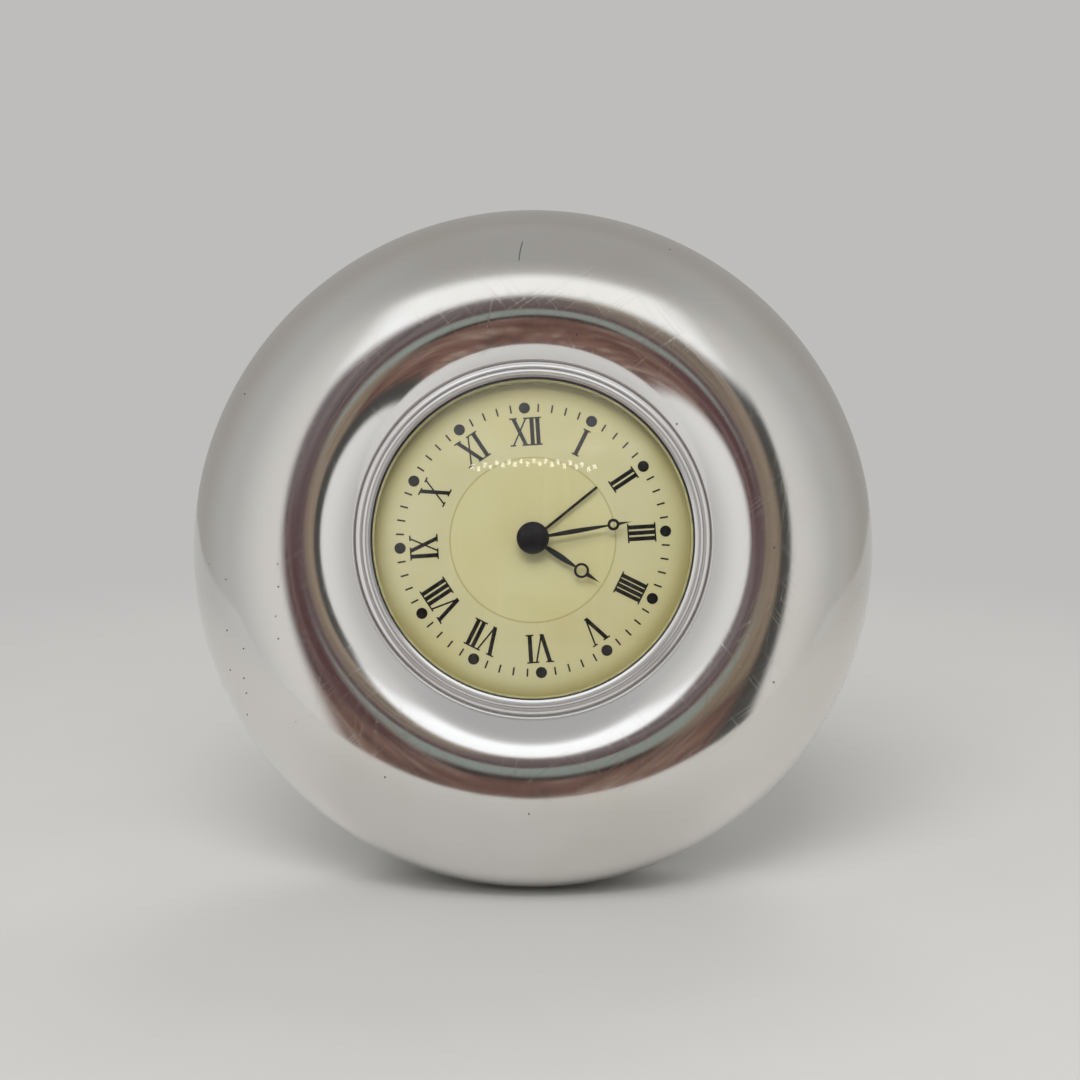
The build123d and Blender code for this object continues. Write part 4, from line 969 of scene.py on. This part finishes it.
# Light: a white tent, brighter at its front edges and ceiling. Mirrors show a dim brown room beyond its open
# front. Small lamps stand in a row over the opening, and two soft lamps light the clock's front and back.
# The tent is painted by direction: side, depth and height are the parts of a unit vector.
sky = Finish("light_tent", bpy.data.worlds.new("light_tent"))
scene.world = sky.material
toward = sky.node("ShaderNodeTexCoord", output="Generated")
side, depth, height = sky.axes(toward)
walls = sky.blend(sky.ramp(depth, -0.95, -0.05), (0.74, 0.73, 0.715, 1.0), (0.48, 0.475, 0.465, 1.0))
walls = sky.blend(sky.ramp(depth, -0.1, 0.7), walls, (0.37, 0.36, 0.345, 1.0))
walls = sky.blend(sky.ramp(height, 0.75, 0.97), walls, (0.40, 0.395, 0.39, 1.0))
glow = sky.ramp(height, 0.53, 0.62) * sky.ramp(height, 0.87, 0.77) * sky.ramp(depth, -0.1, -0.3)
walls = sky.blend(glow * sky.ramp(side * side, 0.17, 0.05), walls, (1.10, 1.12, 1.14, 1.0))
wavy = height + 0.07 * sky.noise(toward, 6.0, 2.0) - 0.035
slanted_side = side + 0.25 * height
upright = sky.node("ShaderNodeVectorMath", {"operation": "MULTIPLY"}, {0: toward, 1: (42.0, 1.0, 3.0)})
streaks = sky.noise(upright, 1.0, 2.0)
warm = sky.blend(sky.ramp(streaks, 0.4, 0.7), (0.12, 0.06, 0.047, 1.0), (0.27, 0.15, 0.115, 1.0))
room = sky.blend(sky.ramp(wavy, 0.04, 0.09), warm, (0.085, 0.034, 0.037, 1.0))
room = sky.blend(sky.ramp(wavy, 0.3, 0.4), room, (0.15, 0.115, 0.125, 1.0))
sandy = sky.ramp(slanted_side, 0.1, 0.2) * sky.ramp(wavy, 0.05, 0.12)
room = sky.blend(sandy, room, (0.26, 0.2, 0.145, 1.0))
room = sky.blend(sky.ramp(streaks, 0.57, 0.63) * 0.75, room, (0.42, 0.35, 0.30, 1.0))
room = sky.blend(sky.ramp(streaks, 0.45, 0.38) * 0.8, room, (0.03, 0.022, 0.022, 1.0))
panel_width = sky.ramp(side, -0.12, -0.09) * sky.ramp(side, 0.16, 0.13)
shadow_line = panel_width * sky.ramp(wavy, 0.07, 0.09) * sky.ramp(wavy, 0.16, 0.13)
room = sky.blend(shadow_line, room, (0.018, 0.014, 0.013, 1.0))
panel = panel_width * sky.ramp(wavy, 0.14, 0.16) * sky.ramp(wavy, 0.32, 0.29)
room = sky.blend(panel, room, (0.27, 0.31, 0.29, 1.0))
post = sky.ramp(slanted_side, 0.37, 0.43)
room = sky.blend(post, room, (0.045, 0.044, 0.04, 1.0))
open_width = sky.ramp(side - 0.3 * height, -0.53, -0.4) * sky.ramp(slanted_side, 0.6, 0.53)
open_front = open_width * sky.ramp(height, 0.60, 0.52) * sky.ramp(depth, -0.2, -0.3)
camera_ray = sky.node("ShaderNodeLightPath", output="Is Camera Ray")
mirror_ray = Tone(sky, camera_ray.socket.node.outputs["Is Glossy Ray"])
tent = sky.blend(open_front * (0.35 + 0.65 * mirror_ray), walls, room)
sky.join(sky.tree.nodes["Background"], {"Color": sky.blend(camera_ray, tent, background), "Strength": 1.0})


def lamp(name, place, size, power, in_lens=False):
    """Rectangular lamp at a place from the clock's centre, facing it, that shows in no metal."""
    data = bpy.data.lights.new(name, "AREA")
    data.shape = "RECTANGLE"
    data.size, data.size_y = size
    data.energy = power
    source = bpy.data.objects.new(name, data)
    source.location = shell_centre + Vector(place)
    source.rotation_euler = (-Vector(place)).to_track_quat("-Z", "Y").to_euler()
    source.visible_glossy = False
    source.visible_transmission = in_lens
    scene.collection.objects.link(source)


row_count = 21
row_pitch = 7.8 * mm
row_depth = -290.0 * mm
row_height = 208.0 * mm
row_step = 2.5 * mm
row_sag = 0.065 * mm
row_lamp_size = (4.5 * mm, 6.5 * mm)
row_power = 0.0105
for i in range(row_count):
    from_middle = i - (row_count - 1) / 2
    rise = row_height + row_step * (-1) ** i - row_sag * from_middle**2
    lamp(f"row_lamp_{i}", (from_middle * row_pitch, row_depth, rise), row_lamp_size, row_power, in_lens=True)
lamp("soft_key", place=(-0.25, -1.2, 1.15), size=(1.0, 1.0), power=14.0)
lamp("soft_fill", place=(0.25, 0.9, 0.8), size=(0.8, 0.8), power=4.5)

# Camera: straight in front of the clock, a little above it and looking slightly down, as in the photograph.
# Its aim lies just off the clock's centre, so that the clock stands where it does there.
camera_rise = radians(9.8)
camera_distance = 0.422
aim = shell_centre + Vector((1.15, 0.16, 0.95)) * mm
camera_data = bpy.data.cameras.new("camera")
camera_data.lens = 85.0
camera_data.sensor_width = 36.0
camera_data.clip_start = 0.01
camera = bpy.data.objects.new("camera", camera_data)
camera.location = aim + Vector((0, -cos(camera_rise), sin(camera_rise))) * camera_distance
camera.rotation_euler = (pi / 2 - camera_rise, 0, 0)
scene.collection.objects.link(camera)
scene.camera = camera
